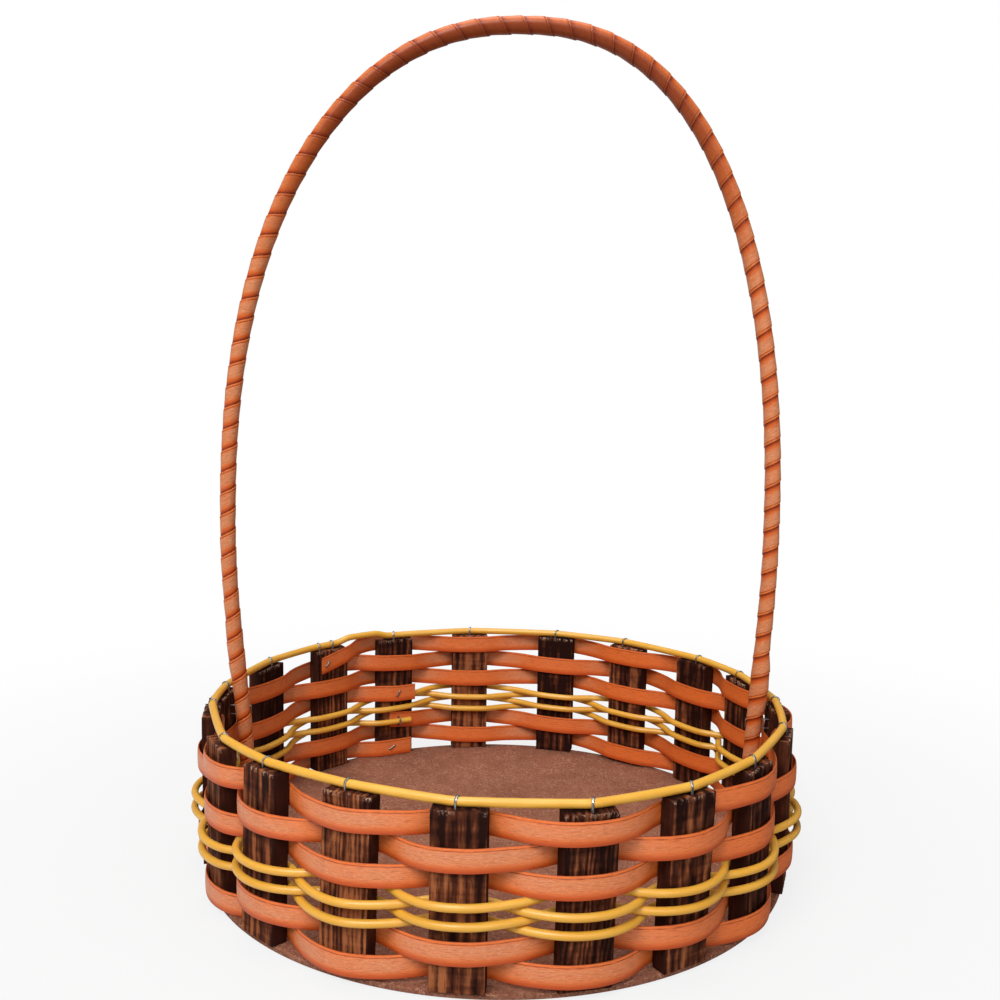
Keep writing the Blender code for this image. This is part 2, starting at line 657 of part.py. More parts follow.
def build_handle(slats):
    """The rod, its tape wrap and the staple through each leg."""
    cane = finish("handle_rod", (0.55, 0.38, 0.20), 0.6)
    rod = add_object("handle_rod", skinned("handle_rod", rod_rings(ROD_DIAMETER / 2), True), cane)
    wrap = add_object("handle_wrap", wrap_mesh(), tape_finish("handle_wrap"))
    cut(wrap, helper("handle_bore", skinned("handle_bore", rod_rings(BORE_RADIUS))))
    for label, number, side in (("left", LEFT_LEG_SLAT, -1), ("right", RIGHT_LEG_SLAT, 1)):
        leg_middle = side * leg_places(side, HANDLE_STAPLE_HEIGHT)
        crown = leg_middle - SEAM_RADIUS - SEAT_GAP - WIRE_THICKNESS
        leg = SLAT_INNER_REACH - crown + STAPLE_BITE / 2
        stance = staple_stance((side * crown, 0, HANDLE_STAPLE_HEIGHT), (0, 0, 1), (-side, 0, 0))
        add_staple(f"handle_staple_{label}", leg, stance, [slats[number], wrap, rod])


def main():
    clear_scene()
    build_base()
    slats = build_slats()
    build_weave(slats)
    build_rim(slats)
    build_handle(slats)


main()
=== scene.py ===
"""The looks of a round woven basket with a wrapped arch handle.

Sawn slats stand round a disc, and flat dyed strips, round cord and wire staples hold them. The origin is the
centre of the disc's underside, +Z is up and +X points to the right leg of the handle.
"""

import json
import logging
import math
from collections.abc import Sequence
from dataclasses import dataclass
from enum import Enum
from functools import reduce

import bpy
import numpy as np
from bpy.types import Material, Mesh, Node, NodeSocket, World
from mathutils import Matrix, Vector

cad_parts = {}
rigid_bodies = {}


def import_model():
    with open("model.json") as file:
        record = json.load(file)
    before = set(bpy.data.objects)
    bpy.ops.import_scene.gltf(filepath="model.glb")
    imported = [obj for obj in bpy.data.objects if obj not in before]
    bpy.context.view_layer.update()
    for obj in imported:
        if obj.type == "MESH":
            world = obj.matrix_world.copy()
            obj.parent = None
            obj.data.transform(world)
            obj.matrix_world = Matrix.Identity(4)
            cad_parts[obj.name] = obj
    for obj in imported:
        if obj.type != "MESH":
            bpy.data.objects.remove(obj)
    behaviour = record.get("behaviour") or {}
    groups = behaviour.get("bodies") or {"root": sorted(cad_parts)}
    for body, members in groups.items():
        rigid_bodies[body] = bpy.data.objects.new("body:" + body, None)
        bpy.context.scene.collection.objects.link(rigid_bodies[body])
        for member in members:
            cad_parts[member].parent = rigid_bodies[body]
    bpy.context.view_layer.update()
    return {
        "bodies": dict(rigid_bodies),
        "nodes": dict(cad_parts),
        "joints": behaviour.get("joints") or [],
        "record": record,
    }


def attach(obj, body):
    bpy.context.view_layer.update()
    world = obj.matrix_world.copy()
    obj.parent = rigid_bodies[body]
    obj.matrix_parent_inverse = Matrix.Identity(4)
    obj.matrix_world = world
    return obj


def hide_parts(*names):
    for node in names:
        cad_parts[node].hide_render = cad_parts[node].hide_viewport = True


MM = 0.001
SLAT_COUNT = 19
SEAT_GAP = 0.3 * MM
TURN_GAP = 0.15 * MM
DISC_THICKNESS = 3.0 * MM
UP = np.array([0.0, 0.0, 1.0])
BACK = np.array([0.0, 1.0, 0.0])
BODY = "root"
LOG = logging.getLogger("basket")

Triple = tuple[float, float, float]
Shares = tuple[float, ...]
Values = np.ndarray | float


class Slot(Enum):
    """The record's material slots that the pieces made here belong to."""

    BOARD = "base_board"
    SLAT = "slat_wood"
    STRIP = "flat_strip"
    CORD = "round_cord"
    WIRE = "staple_wire"


class Leg(Enum):
    """The two legs of the handle, by their side of the basket."""

    LEFT = -1
    RIGHT = 1


# Meshes worked out as whole arrays


def eased(share: Values) -> Values:
    """Smooth step: three times the square less twice the cube of a share held between 0 and 1."""
    held = np.clip(share, 0.0, 1.0)
    return held * held * (3.0 - 2.0 * held)


def unit(vectors: np.ndarray) -> np.ndarray:
    """Vectors along the last axis, each divided by its length."""
    return vectors / np.linalg.norm(vectors, axis=-1, keepdims=True)


def slow_waves(places: np.ndarray, lengths: Sequence[float], seed: int) -> np.ndarray:
    """A gentle unevenness along a line: the mean of sines with the given wavelengths and seeded phases.

    Args:
        places: Where along the line, in metres.
        lengths: Wavelengths of the sines, in metres.
        seed: Seed of the phases.

    Returns:
        Values from about -1 to 1, one for each place.
    """
    phases = np.random.default_rng(seed).uniform(0.0, math.tau, len(lengths))
    waves = [np.sin(math.tau * places / length + phase) for length, phase in zip(lengths, phases)]
    return np.mean(waves, axis=0)


def tube_faces(rows: int, columns: int) -> np.ndarray:
    """Quads between rows of a tube: row times columns plus column, the last column joined to the first.

    Args:
        rows: Number of rings along the tube.
        columns: Number of points in each ring.

    Returns:
        One line of four point numbers for each quad.
    """
    row, column = np.meshgrid(np.arange(rows - 1), np.arange(columns), indexing="ij")
    after = (column + 1) % columns
    low, high = row * columns, (row + 1) * columns
    return np.stack([low + column, low + after, high + after, high + column], axis=-1).reshape(-1, 4)


def tube_uv(along: np.ndarray, around: np.ndarray) -> np.ndarray:
    """UV of each quad's corners: the length along the tube, and a share round it with no jump at the join.

    Args:
        along: Length at each ring.
        around: Share at each column, with one more value than there are columns.

    Returns:
        Corner UVs in the order of tube_faces.
    """
    row, column = np.meshgrid(np.arange(len(along) - 1), np.arange(len(around) - 1), indexing="ij")
    u = np.stack([along[row], along[row], along[row + 1], along[row + 1]], axis=-1)
    v = np.stack([around[column], around[column + 1], around[column + 1], around[column]], axis=-1)
    return np.stack([u, v], axis=-1).reshape(-1, 4, 2)


def shell_lattice(counts: tuple[int, int, int]) -> tuple[np.ndarray, np.ndarray]:
    """Whole-number points on the surface of a box and its quads, edges and corners shared between the sides.

    Args:
        counts: Number of steps along each axis.

    Returns:
        The points, and four point numbers for each quad, turned outwards.
    """
    sides = []
    for axis in range(3):
        first, second = (axis + 1) % 3, (axis + 2) % 3
        i, j = np.meshgrid(np.arange(counts[first]), np.arange(counts[second]), indexing="ij")
        side = np.zeros((*i.shape, 4, 3), int)
        side[..., first] = i[..., None] + np.array([0, 1, 1, 0])
        side[..., second] = j[..., None] + np.array([0, 0, 1, 1])
        for level, order in ((0, [0, 3, 2, 1]), (counts[axis], [0, 1, 2, 3])):
            side[..., axis] = level
            sides.append(side[..., order, :].reshape(-1, 4, 3))
    points, numbers = np.unique(np.concatenate(sides).reshape(-1, 3), axis=0, return_inverse=True)
    return points, numbers.reshape(-1, 4)


def superellipse(half_x: float, half_y: float, power: float, count: int) -> np.ndarray:
    """Closed outline on which the shares of x and y, each raised to the power, add up to 1.

    Args:
        half_x: Half its size along x.
        half_y: Half its size along y.
        power: 2 gives an ellipse, and more a squarer outline.
        count: Number of points.

    Returns:
        The points, anticlockwise from the +x side.
    """
    turn = np.arange(count) * math.tau / count
    level, upright = np.cos(turn), np.sin(turn)
    x = half_x * np.sign(level) * np.abs(level) ** (2.0 / power)
    y = half_y * np.sign(upright) * np.abs(upright) ** (2.0 / power)
    return np.stack([x, y], axis=-1)


def carried(centres: np.ndarray, across: np.ndarray, up: np.ndarray, outline: np.ndarray) -> np.ndarray:
    """An outline carried along a line: centre plus x times the across direction plus y times the up one.

    Args:
        centres: Points of the line.
        across: Direction of the outline's x at each point.
        up: Direction of the outline's y at each point.
        outline: Points of the outline, the same for all or one set for each point of the line.

    Returns:
        Rings of points, one for each point of the line.
    """
    sections = np.broadcast_to(outline, (len(centres), *outline.shape[-2:]))
    return centres[:, None] + sections[..., :1] * across[:, None] + sections[..., 1:] * up[:, None]


def walked_along(points: np.ndarray) -> np.ndarray:
    """Length walked from a line's first point to each of its points."""
    return np.concatenate([[0.0], np.cumsum(np.linalg.norm(np.diff(points, axis=0), axis=1))])


def level_frames(route: np.ndarray) -> tuple[np.ndarray, np.ndarray]:
    """Directions at each point of a line: level to its right, and up across that and the way forward.

    Args:
        route: Points of the line.

    Returns:
        The right and up directions.
    """
    forward = unit(np.gradient(route, axis=0))
    right = unit(np.stack([forward[:, 1], -forward[:, 0], 0.0 * forward[:, 0]], axis=1))
    return right, np.cross(right, forward)


def mesh_of(
    name: str,
    points: np.ndarray,
    face_sets: Sequence[np.ndarray],
    uv_sets: Sequence[np.ndarray] = (),
    marks: dict[str, np.ndarray] | None = None,
    sharp: float = math.radians(50),
) -> Mesh:
    """A smooth closed mesh, its faces turned outwards by the sign of its volume.

    Args:
        name: Name of the mesh.
        points: Its points.
        face_sets: Arrays of faces, each with one number of corners.
        uv_sets: Corner UVs for each array of faces, or nothing.
        marks: Values or vectors kept at each point for the finish to read.
        sharp: Edges that turn more than this stay crisp.

    Returns:
        The mesh.
    """
    flat = points.reshape(-1, 3)
    first = np.concatenate([np.repeat(faces[:, 0], faces.shape[1] - 2) for faces in face_sets])
    second = np.concatenate([faces[:, 1:-1].ravel() for faces in face_sets])
    third = np.concatenate([faces[:, 2:].ravel() for faces in face_sets])
    volume = np.sum(flat[first] * np.cross(flat[second], flat[third]))
    step = 1 if volume > 0 else -1
    corners = np.concatenate([faces[:, ::step].ravel() for faces in face_sets])
    sizes = np.concatenate([np.full(len(faces), faces.shape[1]) for faces in face_sets])
    mesh = bpy.data.meshes.new(name)
    mesh.vertices.add(len(flat))
    mesh.vertices.foreach_set("co", flat.astype(np.float32).ravel())
    mesh.loops.add(len(corners))
    mesh.loops.foreach_set("vertex_index", corners.astype(np.int32))
    mesh.polygons.add(len(sizes))
    mesh.polygons.foreach_set("loop_start", np.concatenate([[0], np.cumsum(sizes)[:-1]]).astype(np.int32))
    mesh.update(calc_edges=True)
    if len(uv_sets):
        turned = np.concatenate([uv[:, ::step].reshape(-1, 2) for uv in uv_sets])
        mesh.uv_layers.new(name="UVMap").data.foreach_set("uv", turned.astype(np.float32).ravel())
    for mark, values in (marks or {}).items():
        vector = values.ndim > 1
        attribute = mesh.attributes.new(mark, "FLOAT_VECTOR" if vector else "FLOAT", "POINT")
        attribute.data.foreach_set("vector" if vector else "value", values.astype(np.float32).ravel())
    mesh.shade_smooth()
    mesh.set_sharp_from_angle(angle=sharp)
    return mesh


def tube_mesh(name: str, rings: np.ndarray, around: np.ndarray, marks: dict[str, np.ndarray]) -> Mesh:
    """A tube through rings of points, closed by a flat face at each end.

    Args:
        name: Name of the mesh.
        rings: Rings of points.
        around: Share round the tube at each column, with one more value than there are columns.
        marks: Values at each ring, kept at its points.

    Returns:
        The mesh.
    """
    rows, columns = rings.shape[:2]
    along = walked_along(rings.mean(axis=1))
    ends = np.stack([np.arange(columns)[::-1], np.arange(columns) + (rows - 1) * columns])
    end_uv = np.stack([
        np.stack([np.full(columns, along[0]), around[:-1][::-1]], axis=-1),
        np.stack([np.full(columns, along[-1]), around[:-1]], axis=-1),
    ])
    spread = {mark: np.repeat(values, columns) for mark, values in marks.items()}
    return mesh_of(name, rings, [tube_faces(rows, columns), ends], [tube_uv(along, around), end_uv], spread)


def hand_over(mesh: Mesh, material: Material, slot: Slot, *stands_for: str) -> None:
    """Makes a finished piece of a mesh, under the mesh's name, lets it ride on the basket and reports it.

    Args:
        mesh: The mesh, in place.
        material: Its finish.
        slot: The record's slot that the finish belongs to.
        stands_for: Solids of the frame that it stands for.
    """
    piece = bpy.data.objects.new(mesh.name, mesh)
    bpy.context.scene.collection.objects.link(piece)
    mesh.materials.append(material)
    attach(piece, BODY)
    if stands_for:
        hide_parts(*stands_for)
    solids = ", ".join(stands_for) or "nothing"
    LOG.info("%s: %d faces, stands for %s", piece.name, len(mesh.polygons), solids)


# Finishes


class Bench:
    """Lays out the nodes of one material, or of the sky, and joins them."""

    def __init__(self, owner: Material | World) -> None:
        """Starts with the nodes that a new material or sky has."""
        owner.use_nodes = True
        self.owner, self.nodes, self.links = owner, owner.node_tree.nodes, owner.node_tree.links

    def put(self, kind: str, inputs: dict, **settings: object) -> Node:
        """Adds a node.

        Args:
            kind: Name of the node type, without ShaderNode.
            inputs: Values or sockets for its inputs.
            settings: Its other properties.

        Returns:
            The node.
        """
        node = self.nodes.new("ShaderNode" + kind)
        for name, value in settings.items():
            setattr(node, name, value)
        for socket, value in inputs.items():
            self.join(node.inputs[socket], value)
        return node

    def join(self, socket: NodeSocket, value: object) -> None:
        """Links a socket to another, or sets its value.

        Args:
            socket: The input.
            value: A socket, a number, a vector or a colour.
        """
        if isinstance(value, NodeSocket):
            self.links.new(value, socket)
        elif isinstance(value, tuple) and len(value) == 3 and socket.type == "RGBA":
            socket.default_value = (*value, 1.0)
        else:
            socket.default_value = value

    def calc(self, kind: str, *values: object) -> NodeSocket:
        """Result of a Math node of the given operation."""
        return self.put("Math", dict(enumerate(values)), operation=kind).outputs[0]

    def times(self, *factors: object) -> NodeSocket:
        """Product of values."""
        return reduce(lambda product, factor: self.calc("MULTIPLY", product, factor), factors)

    def plus(self, *terms: object) -> NodeSocket:
        """Sum of values."""
        return reduce(lambda total, term: self.calc("ADD", total, term), terms)

    def place(self) -> NodeSocket:
        """Object coordinates."""
        return self.put("TexCoord", {}).outputs["Object"]

    def uv(self) -> NodeSocket:
        """Coordinates of the UV map."""
        return self.put("UVMap", {}, uv_map="UVMap").outputs[0]

    def axis(self, vector: NodeSocket, number: int) -> NodeSocket:
        """One coordinate of a vector, counted from 0."""
        return self.put("SeparateXYZ", {0: vector}).outputs[number]

    def mark(self, name: str, output: str = "Fac") -> NodeSocket:
        """What a mesh keeps at its points under a name."""
        return self.put("Attribute", {}, attribute_name=name).outputs[output]

    def noise(
        self, place: NodeSocket, scale: float | Triple, detail: float = 2.0, rough: float = 0.5
    ) -> NodeSocket:
        """A noise about one half.

        Args:
            place: Where it is read.
            scale: Its scale, the same for all axes or one for each.
            detail: Number of finer layers.
            rough: How strong the finer layers are.

        Returns:
            Its values.
        """
        if isinstance(scale, tuple):
            place = self.put("Mapping", {"Vector": place, "Scale": scale}).outputs[0]
            scale = 1.0
        inputs = {"Vector": place, "Scale": scale, "Detail": detail, "Roughness": rough}
        return self.put("TexNoise", inputs).outputs["Fac"]

    def window(
        self, value: object, low: float, high: float, out_low: float = 0.0, out_high: float = 1.0
    ) -> NodeSocket:
        """A value taken from one range to another by a smooth step."""
        inputs = {"Value": value, "From Min": low, "From Max": high, "To Min": out_low, "To Max": out_high}
        return self.put("MapRange", inputs, interpolation_type="SMOOTHSTEP").outputs[0]

    def stripe(self, place: object, middle: float, half: float) -> NodeSocket:
        """1 on a line and 0 from half its width away."""
        off = self.calc("ABSOLUTE", self.calc("SUBTRACT", place, middle))
        return self.window(off, 0.0, half, 1.0, 0.0)

    def coats(self, colour: object, *over: tuple[object, object]) -> object:
        """Colours laid one over another.

        Args:
            colour: The first colour.
            over: The share and the colour of each further coat.

        Returns:
            The mixed colour.
        """
        for share, coat in over:
            colour = self.put("Mix", {0: share, 6: colour, 7: coat}, data_type="RGBA").outputs[2]
        return colour

    def relief(self, height: object, depth: float, strength: float = 1.0) -> NodeSocket:
        """Normal of a relief of the given depth."""
        return self.put("Bump", {"Height": height, "Distance": depth, "Strength": strength}).outputs[0]

    def dress(self, **inputs: object) -> Material:
        """Sets the shader's inputs.

        Args:
            inputs: Values or sockets, with underscores for the spaces in their names.

        Returns:
            The material.
        """
        shader = self.nodes["Principled BSDF"]
        for name, value in inputs.items():
            self.join(shader.inputs[name.replace("_", " ").title().replace("Ior", "IOR")], value)
        return self.owner


@dataclass(frozen=True)
class StripFinish:
    """Dyed split cane: satin orange, fibres, a scored edge, a pale tone on its outer bows that is partly wear
    and partly painted sheen, and painted shade along its lower edge.

    The paler tone, partly a painted sheen, fades between the two places along X that are given for its fade.
    Seam shade and the painted shade are for a wound strip: the share across it that lies in its neighbour's
    shade, and the dark tone painted as shade on the arch's underside and sides.
    """

    name: str = "strip_finish"
    body: Triple = (0.82, 0.165, 0.022)
    # Pale tone: partly wear, partly painted sheen.
    pale: Triple = (0.69, 0.240, 0.098)
    fleck: Triple = (0.88, 0.510, 0.340)
    # Deeper orange painted as shade on the lower edge.
    deep: Triple = (0.50, 0.062, 0.005)
    vein: Triple = (0.37, 0.046, 0.006)
    line: Triple = (0.17, 0.020, 0.005)
    # Dark tone painted as shade on the arch's underside and sides.
    grip: Triple = (0.16, 0.020, 0.002)
    score_place: float = 0.885
    score_half: float = 0.032
    seam_shade: float = 0.0
    sheen: float = 0.5
    rough: tuple[float, float] = (0.42, 0.54)
    # Places along X where the painted sheen fades from full to faint.
    painted_sheen_fade: tuple[float, float] | None = (0.0, 150.0 * MM)
    relief: float = 0.15 * MM

    def material(self) -> Material:
        """Reads the UV map and the marks of bends, of wear with painted sheen, and of painted shade.

        The map holds metres along the strip, and the share across it from its lower edge.

        Returns:
            The material.
        """
        bench = Bench(bpy.data.materials.new(self.name))
        uv = bench.uv()
        across = bench.axis(uv, 1)
        bend, worn, held = (bench.mark(name) for name in ("bend", "worn", "grip"))
        fibre = bench.noise(uv, (230.0, 14.0, 1.0), 3.0, 0.6)
        speck = bench.noise(uv, (420.0, 27.0, 1.0), 3.0, 0.65)
        grain = bench.noise(uv, (150.0, 24.0, 1.0), 4.0, 0.7)
        cloud = bench.noise(uv, (20.0, 1.5, 1.0), 1.0)
        # The pale middle band is partly wear and partly painted sheen: weaker at bends and on inner bows, and
        # gone under the painted shade.
        middle = bench.times(
            bench.window(across, 0.10, 0.48),
            bench.window(across, 0.76, 0.93, 1.0, 0.1),
            bench.window(bend, 0.0, 1.0, 1.0, 0.4),
            bench.window(worn, 0.1, 0.9, 0.3, 1.0),
            bench.window(cloud, 0.2, 0.6, 0.7, 1.0),
            bench.window(held, 0.0, 0.8, 1.0, 0.0),
        )
        # Painted sheen: the pale tone fades from the left side to the right.
        if self.painted_sheen_fade:
            aside = bench.axis(bench.place(), 0)
            middle = bench.times(middle, bench.window(aside, *self.painted_sheen_fade, 1.0, 0.05))
        score = bench.stripe(across, self.score_place, self.score_half)
        score = bench.times(score, bench.window(fibre, 0.3, 0.6, 0.25, 0.85))
        # Pale fibre flecks, partly painted glints, thickest where the pale middle lies.
        flecks = bench.times(bench.window(speck, 0.48, 0.74), bench.window(middle, 0.0, 1.0, 0.06, 0.55))
        colour = bench.coats(
            self.body,
            (middle, self.pale),
            (bench.window(grain, 0.46, 0.70, 0.0, 0.55), self.vein),
            (flecks, self.fleck),
            (bench.window(fibre, 0.54, 0.76, 0.0, 0.40), self.vein),
            # Painted shade along the lower edge.
            (bench.window(across, 0.02, 0.36, 0.95, 0.0), self.deep),
            (bench.window(across, 0.975, 1.0, 0.0, 0.6), self.line),
            (score, self.line),
        )
        if self.seam_shade:
            shade = bench.window(across, 0.0, self.seam_shade, 0.97, 0.0)
            # Painted shade on the arch's underside and sides, mottled by the grain.
            grip = bench.times(held, bench.window(grain, 0.3, 0.7, 0.92, 0.76))
            colour = bench.coats(colour, (shade, self.line), (grip, self.grip))
        height = bench.plus(bench.times(grain, 0.5), bench.times(speck, 0.6))
        height = bench.calc("SUBTRACT", height, bench.times(score, 1.2))
        rough = bench.window(cloud, 0.2, 0.8, *self.rough)
        normal = bench.relief(height, self.relief, 0.8)
        return bench.dress(base_color=colour, roughness=rough, specular_ior_level=self.sheen, normal=normal)


@dataclass(frozen=True)
class CordFinish:
    """Smooth butter-yellow cord with a faint unevenness of tone, and painted shade where it bends round and
    between the slats.
    """

    name: str = "cord_finish"
    body: Triple = (0.76, 0.375, 0.033)
    # Darker tone painted as shade at the bends.
    deep: Triple = (0.60, 0.25, 0.012)
    pale: Triple = (0.79, 0.42, 0.052)
    relief: float = 0.03 * MM

    def material(self) -> Material:
        """Reads the UV map, metres along the cord and the share of a turn round it, and the mark of bends.

        Returns:
            The material.
        """
        bench = Bench(bpy.data.materials.new(self.name))
        uv = bench.uv()
        cloud = bench.noise(uv, (60.0, 3.0, 1.0))
        scuff = bench.noise(uv, (500.0, 40.0, 1.0), 3.0, 0.6)
        colour = bench.coats(
            self.body,
            (bench.window(cloud, 0.35, 0.7), self.pale),
            # Painted shade: darker where the cord bends round and between the slats.
            (bench.times(bench.mark("bend"), 0.5), self.deep),
            (bench.window(scuff, 0.6, 0.8, 0.0, 0.15), self.pale),
        )
        rough = bench.window(scuff, 0.3, 0.8, 0.36, 0.42)
        normal = bench.relief(cloud, self.relief, 0.08)
        return bench.dress(base_color=colour, roughness=rough, specular_ior_level=0.7, normal=normal)


@dataclass(frozen=True)
class SlatFinish:
    """Dark stained softwood: hard dark rings, redder soft wood, fine pores, pale torn fibres partly painted
    as highlights, and painted shade on the narrow sides.
    """

    name: str = "slat_finish"
    dark: Triple = (0.017, 0.0042, 0.0026)
    body: Triple = (0.080, 0.021, 0.0095)
    pale: Triple = (0.345, 0.112, 0.042)
    # Near-black tone painted as shade on the narrow sides.
    side: Triple = (0.030, 0.0070, 0.0042)
    # Pale torn fibres, partly painted highlights on the top edges.
    torn: Triple = (0.60, 0.38, 0.27)
    relief: float = 0.22 * MM

    def material(self) -> Material:
        """Reads, at the slat's points, its own coordinates and the marks of rings, tone, torn fibres with
        painted highlights, and the narrow sides' painted shade.

        Returns:
            The material.
        """
        bench = Bench(bpy.data.materials.new(self.name))
        place = bench.mark("sawn", "Vector")
        ring, tone, torn, side = (bench.mark(name) for name in ("ring", "tone", "torn", "side"))
        streak = bench.noise(place, (460.0, 460.0, 15.0), 4.0, 0.6)
        pore = bench.noise(place, (2200.0, 2200.0, 130.0), 2.0, 0.7)
        patch = bench.noise(place, (170.0, 170.0, 38.0), 3.0, 0.55)
        ripple = bench.noise(place, (60.0, 60.0, 420.0), 1.0)
        fibre = bench.noise(place, (1500.0, 1500.0, 500.0), 2.0, 0.7)
        mixed = bench.plus(
            bench.times(ring, 0.38),
            bench.times(streak, 0.85),
            bench.times(bench.calc("SUBTRACT", patch, 0.5), 1.9),
            bench.times(bench.calc("SUBTRACT", ripple, 0.5), 0.4),
            tone,
        )
        # Painted shade for the narrow sides, mottled by patches.
        flank = bench.coats(self.side, (bench.window(patch, 0.52, 0.72, 0.0, 0.55), self.body))
        colour = bench.coats(
            self.dark,
            (bench.window(mixed, 0.25, 0.66), self.body),
            (bench.window(mixed, 0.58, 1.12), self.pale),
            (bench.window(pore, 0.54, 0.70, 0.0, 0.6), self.dark),
            # Painted shade laid on the narrow sides.
            (bench.times(side, 0.88), flank),
            # Pale torn fibres along the top edges, partly painted highlights.
            (bench.times(torn, bench.window(fibre, 0.45, 0.65)), self.torn),
        )
        height = bench.plus(bench.times(streak, 0.7), bench.times(pore, 0.3))
        rough = bench.window(mixed, 0.3, 1.0, 0.72, 0.88)
        normal = bench.relief(height, self.relief)
        return bench.dress(base_color=colour, roughness=rough, specular_ior_level=0.08, normal=normal)


@dataclass(frozen=True)
class BoardFinish:
    """Reddish-brown hardboard with a matt, finely fibred face."""

    name: str = "board_finish"
    body: Triple = (0.275, 0.102, 0.058)
    dark: Triple = (0.120, 0.038, 0.020)
    pale: Triple = (0.470, 0.235, 0.145)
    relief: float = 0.14 * MM

    def material(self) -> Material:
        """Reads Object coordinates.

        Returns:
            The material.
        """
        bench = Bench(bpy.data.materials.new(self.name))
        place = bench.place()
        cloud = bench.noise(place, 22.0, 3.0)
        speck = bench.noise(place, 850.0, 2.0, 0.6)
        strewn = bench.noise(place, 120.0, 2.0, 0.6)
        hairs = bench.stripe(bench.noise(place, 360.0, 1.0), 0.5, 0.045)
        finer = bench.stripe(bench.noise(place, 560.0, 1.0), 0.46, 0.04)
        fibres = bench.times(bench.calc("MAXIMUM", hairs, finer), bench.window(strewn, 0.36, 0.62, 0.2, 0.75))
        colour = bench.coats(
            self.body,
            (bench.window(cloud, 0.35, 0.75, 0.0, 0.55), self.dark),
            (bench.window(speck, 0.44, 0.64, 0.0, 0.55), self.dark),
            (fibres, self.pale),
        )
        normal = bench.relief(bench.plus(speck, fibres), self.relief, 0.8)
        return bench.dress(base_color=colour, roughness=0.85, specular_ior_level=0.25, normal=normal)


@dataclass(frozen=True)
class WireFinish:
    """Dull galvanised wire with small dark specks."""

    name: str = "wire_finish"
    body: Triple = (0.40, 0.395, 0.38)
    dark: Triple = (0.075, 0.070, 0.066)
    relief: float = 0.02 * MM

    def material(self) -> Material:
        """Reads Object coordinates.

        Returns:
            The material.
        """
        bench = Bench(bpy.data.materials.new(self.name))
        speck = bench.noise(bench.place(), 1400.0, 3.0, 0.6)
        colour = bench.coats(self.body, (bench.window(speck, 0.5, 0.72), self.dark))
        rough = bench.window(speck, 0.3, 0.75, 0.28, 0.5)
        normal = bench.relief(speck, self.relief)
        return bench.dress(base_color=colour, roughness=rough, metallic=1.0, normal=normal)


@dataclass(frozen=True)
class CaneFinish:
    """Bare round cane with straight fibres along it."""

    name: str = "cane_finish"
    body: Triple = (0.55, 0.38, 0.20)
    dark: Triple = (0.33, 0.19, 0.09)
    relief: float = 0.10 * MM

    def material(self) -> Material:
        """Reads Object coordinates.

        Returns:
            The material.
        """
        bench = Bench(bpy.data.materials.new(self.name))
        fibre = bench.noise(bench.place(), (1200.0, 1200.0, 60.0), 3.0, 0.6)
        colour = bench.coats(self.body, (bench.window(fibre, 0.4, 0.7), self.dark))
        return bench.dress(base_color=colour, roughness=0.6, normal=bench.relief(fibre, self.relief))


# Sub-assemblies


@dataclass(frozen=True)
class Ring:
    """Where the slats stand round the disc, and the points that everything else takes from them.

    Each slat stands past its even place by its nudge, a share of the even step, and leans out by its share of
    the lean.
    """

    count: int = SLAT_COUNT
    width: float = 24.5 * MM
    thickness: float = 8.5 * MM
    outer_reach: float = 160.0 * MM
    foot: float = 3.3 * MM
    top: float = 83.928 * MM
    first_step: int = 6
    nudges: Shares = (
        0.30, 0.27, 0.37, 0.50, 0.15, 0.15, 0.05, 0.05, 0.05, 0.10,
        0.05, 0.05, 0.08, 0.0, 0.06, -0.03, 0.02, 0.05, 0.24,
    )
    lean: float = 4.0 * MM
    lean_shares: Shares = (*[0.0] * 6, -0.5, -1.0, 0.0, 1.0, 0.7, *[0.0] * 8)

    @property
    def mid_reach(self) -> float:
        """From the axis to the middle of the slats' thickness."""
        return self.outer_reach - self.thickness / 2

    @property
    def spacing(self) -> float:
        """Mean distance between slats along their circle."""
        return math.tau * self.mid_reach / self.count

    def directions(self, numbers: np.ndarray | int) -> tuple[np.ndarray, np.ndarray]:
        """The outward direction at each slat, and the one along its face that the weavers take.

        Args:
            numbers: Slat numbers, past the last slat for a further turn.

        Returns:
            The two directions, level.
        """
        steps = self.first_step + numbers + np.array(self.nudges)[numbers % self.count]
        bearing = math.tau * steps / self.count
        level = 0.0 * bearing
        outward = np.stack([np.cos(bearing), np.sin(bearing), level], axis=-1)
        return outward, np.stack([-np.sin(bearing), np.cos(bearing), level], axis=-1)

    def slopes(self, numbers: np.ndarray | int) -> np.ndarray:
        """How far each slat leans out per unit of height: its share of the lean over the slat's length."""
        return np.array(self.lean_shares)[numbers % self.count] * self.lean / (self.top - self.foot)

    def beside(self, numbers: np.ndarray | int, along: Values, offset: Values, height: Values) -> np.ndarray:
        """Points at slats: middle reach plus offset and lean outwards, along sideways, and height up.

        Args:
            numbers: Slat numbers.
            along: Places along the slats, from their middles.
            offset: Offsets outwards from the middle of their thickness.
            height: Heights.

        Returns:
            The points.
        """
        outward, sideways = self.directions(numbers)
        along, offset, height = np.asarray(along), np.asarray(offset), np.asarray(height)
        reach = self.mid_reach + offset + self.slopes(numbers) * (height - self.foot)
        return outward * reach[..., None] + sideways * along[..., None] + height[..., None] * UP


@dataclass(frozen=True)
class Route:
    """A weaver's middle line, and at each point how much it bends and how far out it is, from 0 to 1."""

    points: np.ndarray
    bends: np.ndarray
    outs: np.ndarray


